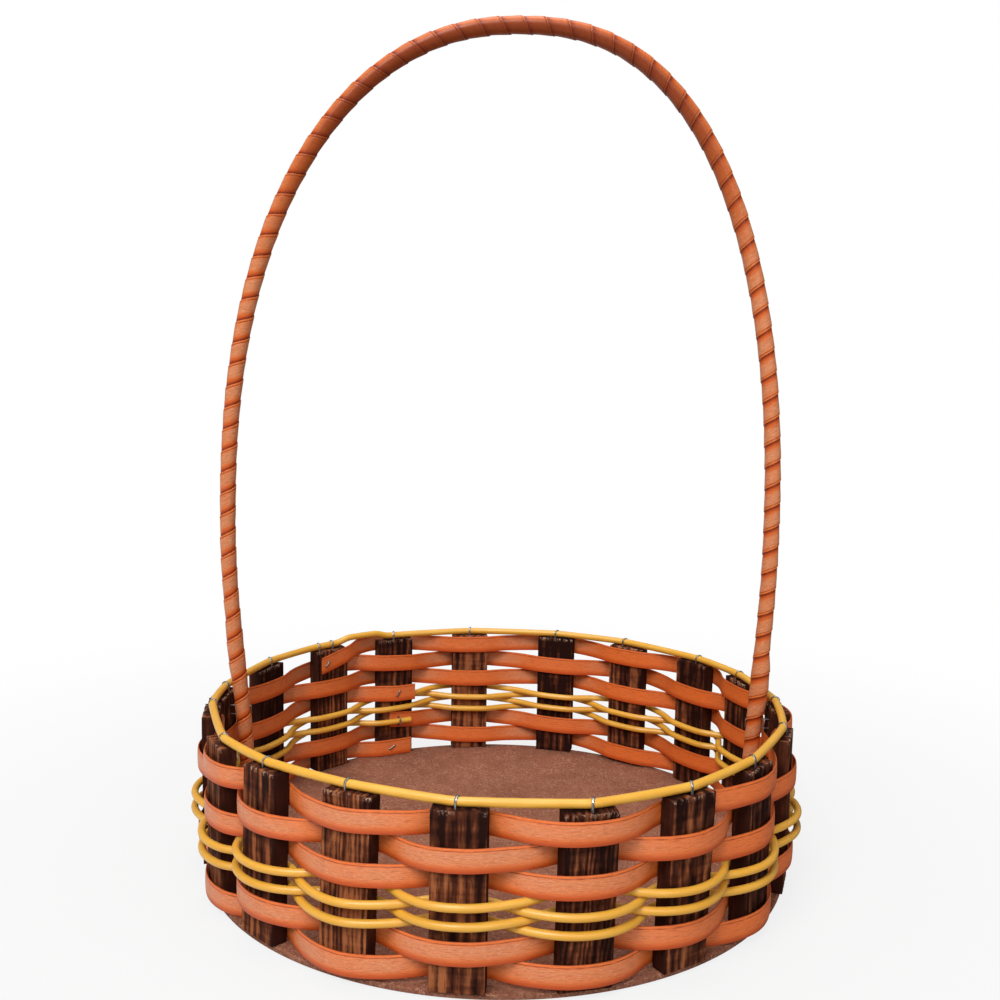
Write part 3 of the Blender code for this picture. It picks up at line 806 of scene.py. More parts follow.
@dataclass(frozen=True)
class Weaver:
    """One length of strip or cord, woven inside and outside the slats in turn.

    It starts inside slat 0 and passes slats up to the last number, which counts on from turn to turn. Start
    and end are its tips' places along the first and the last slat. A row of the climb gives turns and slats
    passed, and the share of the pitch climbed by then. A row of the swells gives slats passed in a turn, and
    the share of the swell. Lifts are how far it is lifted off slat 0, over the first half of its way along it
    and at the way's end.
    """

    depth: float
    last: int
    start: float
    end: float
    out_bulge: float
    in_bulge: float
    first_height: float
    pitch: float
    climb: tuple[Triple, ...]
    swells: tuple[tuple[float, float], ...]
    repeats: int = 1
    lifts: tuple[float, float] = (0.0, 0.0)
    edge_margin: float = 1.2 * MM
    over_steps: int = 18
    gap_steps: int = 16
    bulge_spread: float = 0.08
    slack: float = 0.6 * MM
    full_bend: float = 90.0
    swell: float = 2.3 * MM
    soften_rounds: int = 5

    def heights(self, places: Values, slats: int) -> Values:
        """Height once so many slats are passed: first height, pitch times the climb, and the swell's share.

        Args:
            places: Slats passed.
            slats: Number of slats in a turn.

        Returns:
            The heights.
        """
        rows = [
            ((again + turns) * slats + past, again + share)
            for again in range(self.repeats)
            for turns, past, share in self.climb
        ]
        passed, shares = zip(*rows)
        swell = self.swell * np.interp(np.mod(places, slats), *zip(*self.swells))
        return self.first_height + self.pitch * np.interp(places, passed, shares) + swell

    def route(self, ring: Ring) -> Route:
        """Parabolic bows over the slats, joined by cubic curves, all softened over neighbouring points.

        Over a slat the weaver stands off by side times (rest + bulge times (1 - the square of its share of
        the way to the edge)), with some slack inside where no staple holds it. Between slats it follows the
        Hermite cubic of the two edge points. It meets an outer edge at the bow's slope, and an inner edge at
        the slope of the straight way across.

        Args:
            ring: The slats.

        Returns:
            The middle line.
        """
        crossing = np.arange(self.last + 1)
        side = np.where(crossing % 2 == 0, -1.0, 1.0)
        spread = np.random.default_rng(self.last).uniform(-self.bulge_spread, 0.0, len(crossing))
        bulge = np.where(side < 0, self.in_bulge + self.slack, self.out_bulge * (1.0 + spread))
        bulge[[0, -1]] = np.where(side[[0, -1]] < 0, self.in_bulge, self.out_bulge)
        edge = ring.width / 2 + self.edge_margin
        begin, finish = np.full(len(crossing), -edge), np.full(len(crossing), edge)
        begin[0], finish[-1] = self.start, self.end
        share = np.linspace(0.0, 1.0, self.over_steps + 1)
        along = begin[:, None] + share * (finish - begin)[:, None]
        lift = np.zeros_like(along)
        lift[0] = self.lifts[0] + (self.lifts[1] - self.lifts[0]) * eased(2.0 * share - 1.0)
        rest = ring.thickness / 2 + SEAT_GAP + self.depth / 2
        offset = side[:, None] * (rest + lift + bulge[:, None] * (1.0 - (along / edge) ** 2))
        over_places = crossing[:, None] + along / ring.spacing
        over = ring.beside(crossing[:, None], along, offset, self.heights(over_places, ring.count))
        outward, sideways = ring.directions(crossing)
        straight = 2.0 * rest / (ring.spacing - 2.0 * edge)
        lean = outward * (side * np.where(side < 0, straight, 2.0 * bulge / edge))[:, None]
        start, end = over[:-1, -1], over[1:, 0]
        reach = np.linalg.norm(end - start, axis=1, keepdims=True)
        pull_out, pull_in = (sideways - lean)[:-1] * reach, (sideways + lean)[1:] * reach
        part = np.linspace(0.0, 1.0, self.gap_steps + 2)[1:-1][None, :, None]
        rest_part = 1.0 - part
        between = (
            start[:, None] * (1.0 + 2.0 * part) * rest_part**2 + pull_out[:, None] * part * rest_part**2
            + end[:, None] * (3.0 - 2.0 * part) * part**2 - pull_in[:, None] * part**2 * rest_part
        )
        gap_places = over_places[:-1, -1:] + part[0, :, 0] * (over_places[1:, :1] - over_places[:-1, -1:])
        points = np.concatenate([over[:-1], between], axis=1).reshape(-1, 3)
        places = np.concatenate([over_places[:-1], gap_places], axis=1).ravel()
        points = np.concatenate([points, over[-1]])
        places = np.concatenate([places, over_places[-1]])
        for _ in range(self.soften_rounds):
            points[1:-1] = (points[:-2] + 2.0 * points[1:-1] + points[2:]) / 4.0
        forward = unit(np.gradient(points, axis=0))
        walked = walked_along(points)
        bends = np.linalg.norm(np.gradient(forward, axis=0), axis=1) / np.gradient(walked)
        points[:, 2] = self.heights(places, ring.count)
        outs = eased(0.5 + (np.hypot(points[:, 0], points[:, 1]) - ring.mid_reach) / (3.0 * rest))
        return Route(points, eased(bends / self.full_bend), outs)


@dataclass(frozen=True)
class Base:
    """The hardboard disc and the fasteners in its underside."""

    radius: float = 158.5 * MM
    sides: int = 304
    rings: int = 14
    edge_radius: float = 0.7 * MM
    edge_steps: int = 5
    underside: float = 0.22 * MM
    fastener_span: float = 9.0 * MM
    fastener_leg: float = 3.0 * MM

    def outline(self) -> np.ndarray:
        """From the underside's middle round the edge to the top's middle, with quarter turns at the edges.

        Returns:
            Radius and height of each point.
        """
        turn = np.linspace(0.0, math.pi / 2, self.edge_steps + 1)
        inner = self.radius - self.edge_radius
        rounded = self.edge_radius * (1 - np.cos(turn))
        low = np.stack([inner + self.edge_radius * np.sin(turn), self.underside + rounded], 1)
        high = np.stack([low[::-1, 0], DISC_THICKNESS - rounded[::-1]], 1)
        reach = np.linspace(0.0, inner, self.rings + 1)[1:-1]
        under = np.stack([reach, np.full(len(reach), self.underside)], 1)
        above = np.stack([reach[::-1], np.full(len(reach), DISC_THICKNESS)], 1)
        return np.concatenate([under, low, high, above])

    def disc(self) -> Mesh:
        """The outline turned round the axis, with a point at each pole.

        Returns:
            The mesh.
        """
        outline = self.outline()
        turn = np.arange(self.sides) * math.tau / self.sides
        rings = np.stack([
            outline[:, :1] * np.cos(turn), outline[:, :1] * np.sin(turn),
            np.broadcast_to(outline[:, 1:], (len(outline), self.sides)),
        ], axis=-1)
        poles = np.array([self.underside * UP, DISC_THICKNESS * UP])
        points = np.concatenate([rings.reshape(-1, 3), poles])
        count = len(outline) * self.sides
        here = np.arange(self.sides)
        after = (here + 1) % self.sides
        top = count - self.sides
        fans = np.concatenate([
            np.stack([np.full(self.sides, count), after, here], 1),
            np.stack([np.full(self.sides, count + 1), top + here, top + after], 1),
        ])
        return mesh_of("base_board_disc", points, [tube_faces(len(outline), self.sides), fans])

    def build(self, ring: Ring, staples: "Staples") -> None:
        """Makes the disc and one fastener under each slat.

        Args:
            ring: The slats.
            staples: The wire that the fasteners are bent from.
        """
        hand_over(self.disc(), BoardFinish().material(), Slot.BOARD, "base_disc")
        for number in range(ring.count):
            _, sideways = ring.directions(number)
            stance = Staples.stance(ring.beside(number, 0.0, 0.0, 0.0), sideways, -UP)
            name = f"base_fastener_{number + 1:02d}"
            mesh = staples.mesh(name, self.fastener_span, self.fastener_leg, stance)
            hand_over(mesh, staples.finish, Slot.WIRE)


@dataclass(frozen=True)
class Slats:
    """The sawn slats, each with its own ring pattern, rounded edges and a rough top.

    Each slat has its own gap between rings, share of the relief and tones. Waves are lists of wavelengths.
    """

    steps: tuple[int, int, int] = (12, 78, 44)
    edge_radius: float = 0.38 * MM
    ring_gaps: tuple[float, ...] = (
        0.0040, 0.0032, 0.0036, 0.0045, 0.0030, 0.0038, 0.0033, 0.0024, 0.0054, 0.0022,
        0.0029, 0.0035, 0.0042, 0.0030, 0.0036, 0.0044, 0.0032, 0.0050, 0.0038,
    )
    ring_depths: Shares = (
        0.6, 0.5, 0.5, 0.4, 0.6, 0.5, 0.5, 0.6, 0.4, 1.3, 1.1, 0.7, 0.5, 0.6, 0.5, 0.4, 0.5, 0.4, 0.5,
    )
    # Each slat's own tone; the third slat's very dark one is partly painted shade.
    tones: Shares = (
        -0.12, -0.02, -0.36, -0.18, -0.12, 0.02, 0.02, 0.20, 0.04, -0.14,
        -0.04, -0.12, -0.10, -0.10, -0.12, -0.14, -0.02, -0.28, 0.14,
    )
    top_tones: Shares = (
        0.0, 0.0, 0.0, 0.0, 0.0, 0.0, -0.15, -0.20, -0.30, -0.05,
        -0.10, 0.0, 0.0, 0.0, 0.0, 0.0, 0.0, -0.20, 0.0,
    )
    top_tone_start: float = 0.72
    pith_back: float = 30.0 * MM
    pith_spread: float = 60.0 * MM
    pith_flatness: float = 0.35
    lengthwise_wander: float = 0.55 * MM
    lengthwise_waves: tuple[float, ...] = (0.115, 0.061, 0.034)
    crosswise_wander: float = 0.7 * MM
    crosswise_waves: tuple[float, ...] = (0.013, 0.0083)
    slanting_wander: float = 0.3 * MM
    slanting_waves: tuple[float, ...] = (0.023, 0.0127, 0.0083)
    relief: float = 0.30 * MM
    side_relief: float = 0.08 * MM
    side_waves: tuple[float, ...] = (0.009, 0.0041, 0.0023)
    top_relief: float = 0.85 * MM
    top_reach: float = 2.6 * MM
    top_waves: tuple[float, ...] = (0.0031, 0.0017, 0.0011)
    top_ragged: float = 0.18
    block: float = 1.7 * MM
    block_wall_share: float = 0.15

    def levels(self, count: int, size: float) -> np.ndarray:
        """Places across a size: both rounded edges in three short steps, the rest even.

        Args:
            count: Number of steps.
            size: The size.

        Returns:
            The places, from its middle.
        """
        edge = self.edge_radius / size * np.array([0.0, 0.3, 0.65, 1.0])
        middle = np.linspace(edge[-1], 1.0 - edge[-1], count - 5)[1:-1]
        return size * (np.concatenate([edge, middle, 1.0 - edge[::-1]]) - 0.5)

    def rings_at(self, place: np.ndarray, number: int) -> np.ndarray:
        """Growth rings: distance from a wandering pith over the ring gap, as a wave with narrow dark lines.

        Args:
            place: Points in the slat's own frame: through, across and up.
            number: The slat's number, which seeds the pith's place and wander.

        Returns:
            1 on soft wood and 0 on the hard dark lines.
        """
        draw = np.random.default_rng(1000 + number)
        back = -self.pith_back * draw.uniform(0.75, 1.3)
        aside = self.pith_spread * draw.uniform(-1.0, 1.0)
        wander = self.lengthwise_wander * slow_waves(place[:, 2], self.lengthwise_waves, 50 + number)
        lean = draw.uniform(-0.03, 0.03)
        through = place[:, 0] - back
        across = place[:, 1] - aside + wander + lean * place[:, 2]
        slanting = place[:, 2] + 1.5 * across
        distance = np.hypot(self.pith_flatness * through, across)
        distance += self.crosswise_wander * slow_waves(across, self.crosswise_waves, 90 + number)
        distance += self.slanting_wander * slow_waves(slanting, self.slanting_waves, 130 + number)
        wave = 0.5 + 0.5 * np.cos(math.tau * distance / self.ring_gaps[number] + draw.uniform(0, 6.0))
        return wave**0.7

    def block_levels(self, place: np.ndarray, size: np.ndarray, draw: np.random.Generator) -> np.ndarray:
        """How deep the torn top is sunk: a level drawn for each block in front and behind, with short slopes.

        Args:
            place: Points in the slat's own frame.
            size: Its size.
            draw: Where the blocks' walls and levels are drawn from.

        Returns:
            Shares of the greatest depth.
        """
        count = int(size[1] / self.block)
        walls = np.linspace(-size[1] / 2, size[1] / 2, count + 1)
        walls += self.block * draw.uniform(-0.3, 0.3, count + 1)
        wall = self.block_wall_share * self.block
        knots = np.stack([walls[:-1] + wall, walls[1:] - wall], axis=1).ravel()
        front, rear = (np.repeat(draw.uniform(0.0, 1.0, count) ** 1.6, 2) for _ in range(2))
        towards = eased(0.5 + place[:, 0] / (0.7 * size[0]))
        front_level, rear_level = (np.interp(place[:, 1], knots, levels) for levels in (front, rear))
        return towards * front_level + (1.0 - towards) * rear_level

    @staticmethod
    def stood(ring: Ring, number: int, place: np.ndarray) -> np.ndarray:
        """Points in a slat's own frame, stood in the ring: middle plus through, across and up at its lean.

        Args:
            ring: Where the slat stands.
            number: Its number.
            place: The points.

        Returns:
            The points in the basket's frame.
        """
        slope = float(ring.slopes(number))
        outward, sideways = ring.directions(number)
        up = (UP + slope * outward) / math.hypot(1.0, slope)
        through = (outward - slope * UP) / math.hypot(1.0, slope)
        middle = ring.beside(number, 0.0, 0.0, (ring.top + ring.foot) / 2)
        return middle + place[:, :1] * through + place[:, 1:2] * sideways + place[:, 2:] * up

    def slat(self, ring: Ring, number: int) -> Mesh:
        """A rounded box, sunk along its dark ring lines and broken on top into small blocks by the saw.

        A point of the box is drawn in to the rounded edge, then moved inwards by the relief times one less
        the ring wave on the two broad faces, and down by the level of its block on top.

        Args:
            ring: Where the slat stands.
            number: Its number, from 0.

        Returns:
            The mesh.
        """
        draw = np.random.default_rng(number)
        size = np.array([ring.thickness, ring.width, ring.top - ring.foot])
        lattice, faces = shell_lattice(self.steps)
        levels = [self.levels(count, reach) for count, reach in zip(self.steps, size)]
        box = np.stack([levels[axis][lattice[:, axis]] for axis in range(3)], axis=1)
        core = np.clip(box, self.edge_radius - size / 2, size / 2 - self.edge_radius)
        out = box - core
        length = np.linalg.norm(out, axis=1, keepdims=True)
        place = core + self.edge_radius * out / length
        rings = self.rings_at(place, number)
        broad = np.abs(out[:, 0]) / length[:, 0]
        place[:, 0] -= np.sign(out[:, 0]) * broad * self.relief * self.ring_depths[number] * (1.0 - rings)
        narrow = np.abs(out[:, 1]) / length[:, 0]
        rough = slow_waves(place[:, 2] + place[:, 0] * 2.0, self.side_waves, 300 + number)
        place[:, 1] -= np.sign(out[:, 1]) * narrow * self.side_relief * (1.0 + rough)
        on_top = eased((place[:, 2] - size[2] / 2 + self.top_reach) / self.top_reach)
        level = self.block_levels(place, size, draw)
        ragged = slow_waves(place[:, 1] + 0.3 * place[:, 0], self.top_waves, 500 + number)
        place[:, 2] -= on_top * self.top_relief * np.clip(level + self.top_ragged * ragged, 0.0, 1.0)
        edge_on = eased((np.abs(place[:, 0]) / (size[0] / 2) - 0.55) / 0.35)
        # Pale torn fibres on the sunk blocks at the top edges, partly painted highlights.
        torn = eased((on_top - 0.45) / 0.4) * edge_on * eased((level - 0.15) / 0.4) * draw.uniform(0.45, 1.0)
        raised = place[:, 2] / size[2] + 0.5 - self.top_tone_start
        topped = eased(raised / (1.0 - self.top_tone_start) * 1.4)
        marks = {
            "sawn": place + draw.uniform(-1.0, 1.0, 3),
            "ring": rings,
            "tone": self.tones[number] + self.top_tones[number] * topped,
            "torn": torn,
            # Painted shade on the narrow sides.
            "side": eased((narrow - 0.4) / 0.4),
        }
        points = self.stood(ring, number, place)
        return mesh_of(f"sawn_slat_{number + 1:02d}", points, [faces], (), marks, math.radians(60))

    def build(self, ring: Ring) -> None:
        """Makes each slat.

        Args:
            ring: Where the slats stand.
        """
        finish = SlatFinish().material()
        for number in range(ring.count):
            hand_over(self.slat(ring, number), finish, Slot.SLAT, f"slat_{number + 1:02d}")


@dataclass(frozen=True)
class Staples:
    """Bent wire, and the way in which it is stood at a point."""

    finish: Material
    thickness: float = 0.5 * MM
    width: float = 1.2 * MM
    bite: float = 5.5 * MM
    span: float = 5.6 * MM
    bend: float = 0.8 * MM
    bend_steps: int = 10
    squareness: float = 3.0
    sides: int = 12

    @staticmethod
    def stance(origin: np.ndarray, crown: np.ndarray, away: np.ndarray) -> Matrix:
        """Matrix that stands a staple at a point, its crown along one direction, its legs against another."""
        x, z = Vector(crown).normalized(), Vector(away).normalized()
        return Matrix.Translation(Vector(origin)) @ Matrix((x, z.cross(x), z)).transposed().to_4x4()

    def mesh(self, name: str, span: float, leg: float, stance: Matrix, bend: float | None = None) -> Mesh:
        """A rounded wire carried up one leg, round a quarter turn, along the crown and down the other leg.

        Args:
            name: Name of the mesh.
            span: Length of the crown over its legs.
            leg: Length of a leg from the crown's top.
            stance: Where the staple stands.
            bend: Radius of the quarter turns, where it isn't the usual one.

        Returns:
            The mesh.
        """
        half = span / 2 - self.thickness / 2
        bend = min(bend or self.bend, half * 0.98)
        turn = np.linspace(0.0, math.pi / 2, self.bend_steps + 1)
        sunk = bend * (1 - np.sin(turn)) + self.thickness / 2
        left = np.stack([-half + bend * (1 - np.cos(turn)), -sunk], 1)
        right = left[::-1] * np.array([-1.0, 1.0])
        line = np.concatenate([[[-half, -leg]], left, right, [[half, -leg]]])
        forward = unit(np.gradient(line, axis=0))
        centres = np.stack([line[:, 0], 0.0 * line[:, 0], line[:, 1]], 1)
        across = np.tile(BACK, (len(line), 1))
        up = np.stack([-forward[:, 1], 0.0 * line[:, 0], forward[:, 0]], 1)
        outline = superellipse(self.width / 2, self.thickness / 2, self.squareness, self.sides)
        rings = carried(centres, across, up, outline)
        turned = np.array(stance.to_3x3()) @ rings.reshape(-1, 3).T
        placed = (turned.T + np.array(stance.translation)).reshape(rings.shape)
        return tube_mesh(name, placed, np.linspace(0.0, 1.0, self.sides + 1), {})

    def inside(
        self, label: str, ring: Ring, number: int, along: float, height: float, standing: float, slant: float
    ) -> None:
        """A staple into a slat's inside, over a weaver that stands so far off it.

        Args:
            label: What the names of the piece and of its solid start with.
            ring: The slats.
            number: The slat.
            along: Its place along the slat.
            height: Its height.
            standing: From the slat's inside to the weaver's inner face.
            slant: How far its crown slants from level.
        """
        outward, sideways = ring.directions(number)
        rise = standing + SEAT_GAP + self.thickness
        origin = ring.beside(number, along, -(ring.thickness / 2 + rise), height)
        crown = math.sin(slant) * UP - math.cos(slant) * sideways
        mesh = self.mesh(f"{label}_wire", self.span, rise + self.bite, self.stance(origin, crown, -outward))
        hand_over(mesh, self.finish, Slot.WIRE, f"{label}_staple")


@dataclass(frozen=True)
class Weave:
    """The two flat strips and the round cord between them, with the staples at their ends."""

    strip_width: float = 11.0 * MM
    strip_thickness: float = 0.8 * MM
    strip_cup: float = 0.22 * MM
    strip_squareness: float = 5.0
    strip_points: int = 28
    cord_diameter: float = 4.0 * MM
    cord_pull: float = 0.2 * MM
    cord_sides: int = 18
    strip_in_bulge: float = 0.4 * MM
    strip_out_bulge: float = 2.4 * MM
    cord_in_bulge: float = 0.3 * MM
    cord_out_bulge: float = 2.8 * MM
    end_staple: float = 5.2 * MM
    lower_climb: tuple[Triple, ...] = (
        (0, 0.5, 0.0), (0.5, 0, 0.04), (1, -3.5, 0.08), (1, -1.5, 0.3), (1, -0.5, 0.5), (1, 0.5, 1.0),
    )
    cord_climb: tuple[Triple, ...] = (
        (0, 0.5, 0.0), (0.5, 0, 0.2), (1, -3.5, 0.4), (1, -1.5, 0.9), (1, -0.5, 1.4), (1, 0.5, 1.0),
    )
    upper_climb: tuple[Triple, ...] = (
        (0, 0.5, 0.0), (0.5, 0, 0.2), (1, -3.5, 0.35), (1, -1.5, 0.5), (1, -0.5, 0.62), (1, 0.5, 1.0),
        (1.5, 0, 1.25), (2, -3.5, 1.42), (2, -0.5, 1.65), (2, 0.5, 2.0), (2.5, 0, 2.35),
        (3, -3, 2.65), (3, -0.5, 2.72), (3, 0.3, 3.0), (3, 0.6, 3.0), (3, 1.2, 2.36),
    )
    strip_swells: tuple[tuple[float, float], ...] = (
        (5.5, 0.0), (7, 0.3), (8, 1.0), (9, 1.0), (10, 0.35), (11, 0.15), (12, 0.4), (13, 0.15), (14, 0.0),
    )
    cord_swells: tuple[tuple[float, float], ...] = (
        (5.5, 0.0), (7, 0.65), (8, 1.45), (9, 1.4), (10, 0.8), (11, 0.55), (12, 0.75), (13, 0.35), (14, 0.0),
    )

    def flat_weaver(self, **sizes: object) -> Weaver:
        """A strip's weaver with the given sizes and those that both strips share."""
        return Weaver(
            depth=self.strip_thickness,
            out_bulge=self.strip_out_bulge,
            in_bulge=self.strip_in_bulge,
            pitch=self.strip_width + TURN_GAP,
            swells=self.strip_swells,
            **sizes,
        )

    @property
    def lower(self) -> Weaver:
        """The lower strip: two turns from the disc up."""
        return self.flat_weaver(
            last=2 * SLAT_COUNT,
            start=-11.0 * MM,
            end=5.0 * MM,
            first_height=DISC_THICKNESS + SEAT_GAP + self.strip_width / 2,
            climb=self.lower_climb,
            repeats=2,
        )

    @property
    def cord(self) -> Weaver:
        """The round cord: four turns, lifted over the lower strip on its first slat.

        Returns:
            The weaver.
        """
        strip_below = self.lower.first_height + self.lower.pitch
        lift = self.strip_thickness + SEAT_GAP
        return Weaver(
            depth=self.cord_diameter,
            last=4 * SLAT_COUNT,
            start=-9.5 * MM,
            end=-6.0 * MM,
            out_bulge=self.cord_out_bulge,
            in_bulge=self.cord_in_bulge,
            first_height=strip_below + self.strip_width / 2 + TURN_GAP + self.cord_diameter / 2,
            pitch=self.cord_diameter + TURN_GAP,
            climb=self.cord_climb,
            swells=self.cord_swells,
            repeats=4,
            lifts=(lift, lift),
        )

    @property
    def upper(self) -> Weaver:
        """The upper strip: three turns and a slat, its start lifted over the cord's end."""
        cord_below = self.cord.first_height + (self.cord.repeats - 1) * self.cord.pitch
        return self.flat_weaver(
            last=3 * SLAT_COUNT + 1,
            start=-12.0 * MM,
            end=9.5 * MM,
            first_height=cord_below + self.strip_width / 2 + TURN_GAP + self.cord_diameter / 2,
            climb=self.upper_climb,
            lifts=(self.cord_diameter + SEAT_GAP, 0.0),
        )

    def strip(self, name: str, route: Route) -> Mesh:
        """A thin squarish outline, cupped by the square of its share across, carried upright along a route.

        Args:
            name: Name of the mesh.
            route: The strip's middle line.

        Returns:
            The mesh.
        """
        half = self.strip_width / 2
        outline = superellipse(self.strip_thickness / 2, half, self.strip_squareness, self.strip_points)
        share = outline[:, 1] / half
        outline[:, 0] -= self.strip_cup * share**2
        right, up = level_frames(route.points * (1.0 - UP))
        rings = carried(route.points, right, up, outline)
        around = np.append(0.5 + 0.5 * share, 0.5 + 0.5 * share[0])
        # How far out each point is marks the wear and painted sheen on the outer bows.
        return tube_mesh(name, rings, around, {"bend": route.bends, "worn": route.outs})

    def round_cord(self, name: str, route: Route, diameter: float, sides: int) -> Mesh:
        """A circle carried along a route.

        Args:
            name: Name of the mesh.
            route: The cord's middle line.
            diameter: Its diameter.
            sides: Number of points round it.

        Returns:
            The mesh.
        """
        right, up = level_frames(route.points)
        rings = carried(route.points, right, up, superellipse(diameter / 2, diameter / 2, 2.0, sides))
        return tube_mesh(name, rings, np.linspace(0.0, 1.0, sides + 1), {"bend": route.bends})

    def build(self, ring: Ring, staples: Staples, strip: Material, cord: Material) -> None:
        """Makes the weavers and their end staples.

        Args:
            ring: The slats.
            staples: The wire for the end staples.
            strip: Finish of the strips.
            cord: Finish of the cord.
        """
        hand_over(self.strip("lower_strip", self.lower.route(ring)), strip, Slot.STRIP, "lower_tape")
        hand_over(self.strip("upper_strip", self.upper.route(ring)), strip, Slot.STRIP, "upper_tape")
        thick = self.cord_diameter - self.cord_pull
        middle = self.round_cord("middle_cord", self.cord.route(ring), thick, self.cord_sides)
        hand_over(middle, cord, Slot.CORD, "weave_cord")
        strip_stands = SEAT_GAP + self.strip_thickness + self.strip_in_bulge
        cord_stands = SEAT_GAP + self.cord_diameter + self.cord_in_bulge + self.cord.lifts[0]
        upper_end = float(self.upper.heights(self.upper.last + self.end_staple / ring.spacing, ring.count))
        # Label, slat, place along it, height, how far the weaver stands off and the crown's slant in degrees
        rows = (
            ("lower_start", 0, 3.0 * MM, self.lower.first_height, strip_stands, 35),
            ("cord_tail", 0, -1.0 * MM, self.cord.first_height, cord_stands, 90),
            ("upper_start", 0, 0.5 * MM, self.upper.first_height, strip_stands + self.upper.lifts[0], 57),
            ("upper_end", 1, self.end_staple, upper_end, strip_stands, 47),
        )
        for label, number, along, height, standing, slant in rows:
            staples.inside(label, ring, number, along, height, standing, math.radians(slant))


@dataclass(frozen=True)
class Rim:
    """The cord along the slat tops and the staples that hold it."""

    diameter: float = 4.3 * MM
    sides: int = 26
    inset: float = 0.5 * MM
    flat: float = 2.5 * MM
    bow: float = 0.6 * MM
    join: float = 0.8 * MM
    join_slat: int = 1
    join_staples: tuple[float, float] = (-1.5 * MM, 9.0 * MM)
    strip_top: float = 86.65 * MM
    lift_share: float = 0.3
    span_steps: int = 36
    staple_bend: float = 2.2 * MM
    staple_span: float = 5.2 * MM
    staple_clearance: float = 0.08 * MM
    tilt: float = math.radians(-22)
    tilt_spread: float = math.radians(10)
    tilt_seed: int = 7
    staple_shares: Shares = (
        0.02, 0.0, -0.12, -0.16, -0.16, 0.16, 0.0, -0.08, -0.04, 0.06,
        0.04, -0.04, 0.12, 0.12, 0.08, -0.16, 0.1, -0.02, 0.0,
    )

    def height(self, ring: Ring) -> float:
        """Height of the cord's middle over the slats."""
        return ring.top + SEAT_GAP + self.diameter / 2

    def staple_places(self, ring: Ring, number: int) -> tuple[float, ...]:
        """Where the cord is stapled along a slat: once, and twice where its ends meet.

        Args:
            ring: The slats.
            number: The slat.

        Returns:
            The places.
        """
        if number % ring.count == self.join_slat:
            return self.join_staples
        return (self.staple_shares[number % ring.count] * ring.width,)

    def route(self, ring: Ring) -> Route:
        """Straight over each staple, bowed out as a parabola between slats, lifted over the top strip's end.

        Args:
            ring: The slats.

        Returns:
            The cord's middle line.
        """
        height = self.height(ring)
        lift = max(0.0, self.strip_top + TURN_GAP + self.diameter / 2 - height)
        numbers = np.arange(self.join_slat + 1, self.join_slat + ring.count + 1)
        leave = np.array([self.staple_places(ring, n - 1)[-1] + self.flat for n in numbers])
        arrive = np.array([self.staple_places(ring, n)[0] - self.flat for n in numbers])
        start = ring.beside(numbers - 1, leave, -self.inset, height)
        end = ring.beside(numbers, arrive, -self.inset, height)
        share = np.linspace(0.0, 1.0, self.span_steps)[:, None]
        outward = unit((start + end) * (1.0 - UP))
        bow = outward[:, None] * self.bow * 4 * share * (1 - share)
        spans = start[:, None] + share * (end - start)[:, None] + bow
        rise = eased(share / self.lift_share) * eased((1.0 - share) / self.lift_share)
        spans[-1] += lift * rise * UP
        joins = np.array([self.join + TURN_GAP, self.join - TURN_GAP])
        tips = ring.beside(self.join_slat, joins, -self.inset, height)
        points = np.concatenate([tips[:1], spans.reshape(-1, 3), tips[1:]])
        walked = walked_along(points)
        even = np.linspace(0.0, walked[-1], int(walked[-1] / MM))
        smooth = np.stack([np.interp(even, walked, points[:, axis]) for axis in range(3)], axis=1)
        return Route(smooth, np.zeros(len(smooth)), np.ones(len(smooth)))

    def build(self, ring: Ring, weave: Weave, staples: Staples, cord: Material) -> None:
        """Makes the rim cord and its staples.

        Args:
            ring: The slats.
            weave: The weave, which knows how a round cord is made.
            staples: The wire.
            cord: Finish of the cord.
        """
        mesh = weave.round_cord("top_cord", self.route(ring), self.diameter - weave.cord_pull, self.sides)
        hand_over(mesh, cord, Slot.CORD, "rim_cord")
        rise = (self.diameter - weave.cord_pull) / 2 + self.staple_clearance + staples.thickness
        leg = rise + self.height(ring) - ring.top + staples.bite
        draw = np.random.default_rng(self.tilt_seed)
        tilts = self.tilt + draw.uniform(-self.tilt_spread, self.tilt_spread, ring.count + 1)
        slats = range(ring.count)
        places = [(number, along) for number in slats for along in self.staple_places(ring, number)]
        for count, ((number, along), tilt) in enumerate(zip(places, tilts), 1):
            outward, sideways = ring.directions(number)
            origin = ring.beside(number, along, -self.inset, self.height(ring) + rise)
            stance = Staples.stance(origin, math.cos(tilt) * outward + math.sin(tilt) * sideways, UP)
            staple = staples.mesh(f"rim_wire_{count:02d}", self.staple_span, leg, stance, self.staple_bend)
            hand_over(staple, staples.finish, Slot.WIRE, f"rim_staple_{count:02d}")


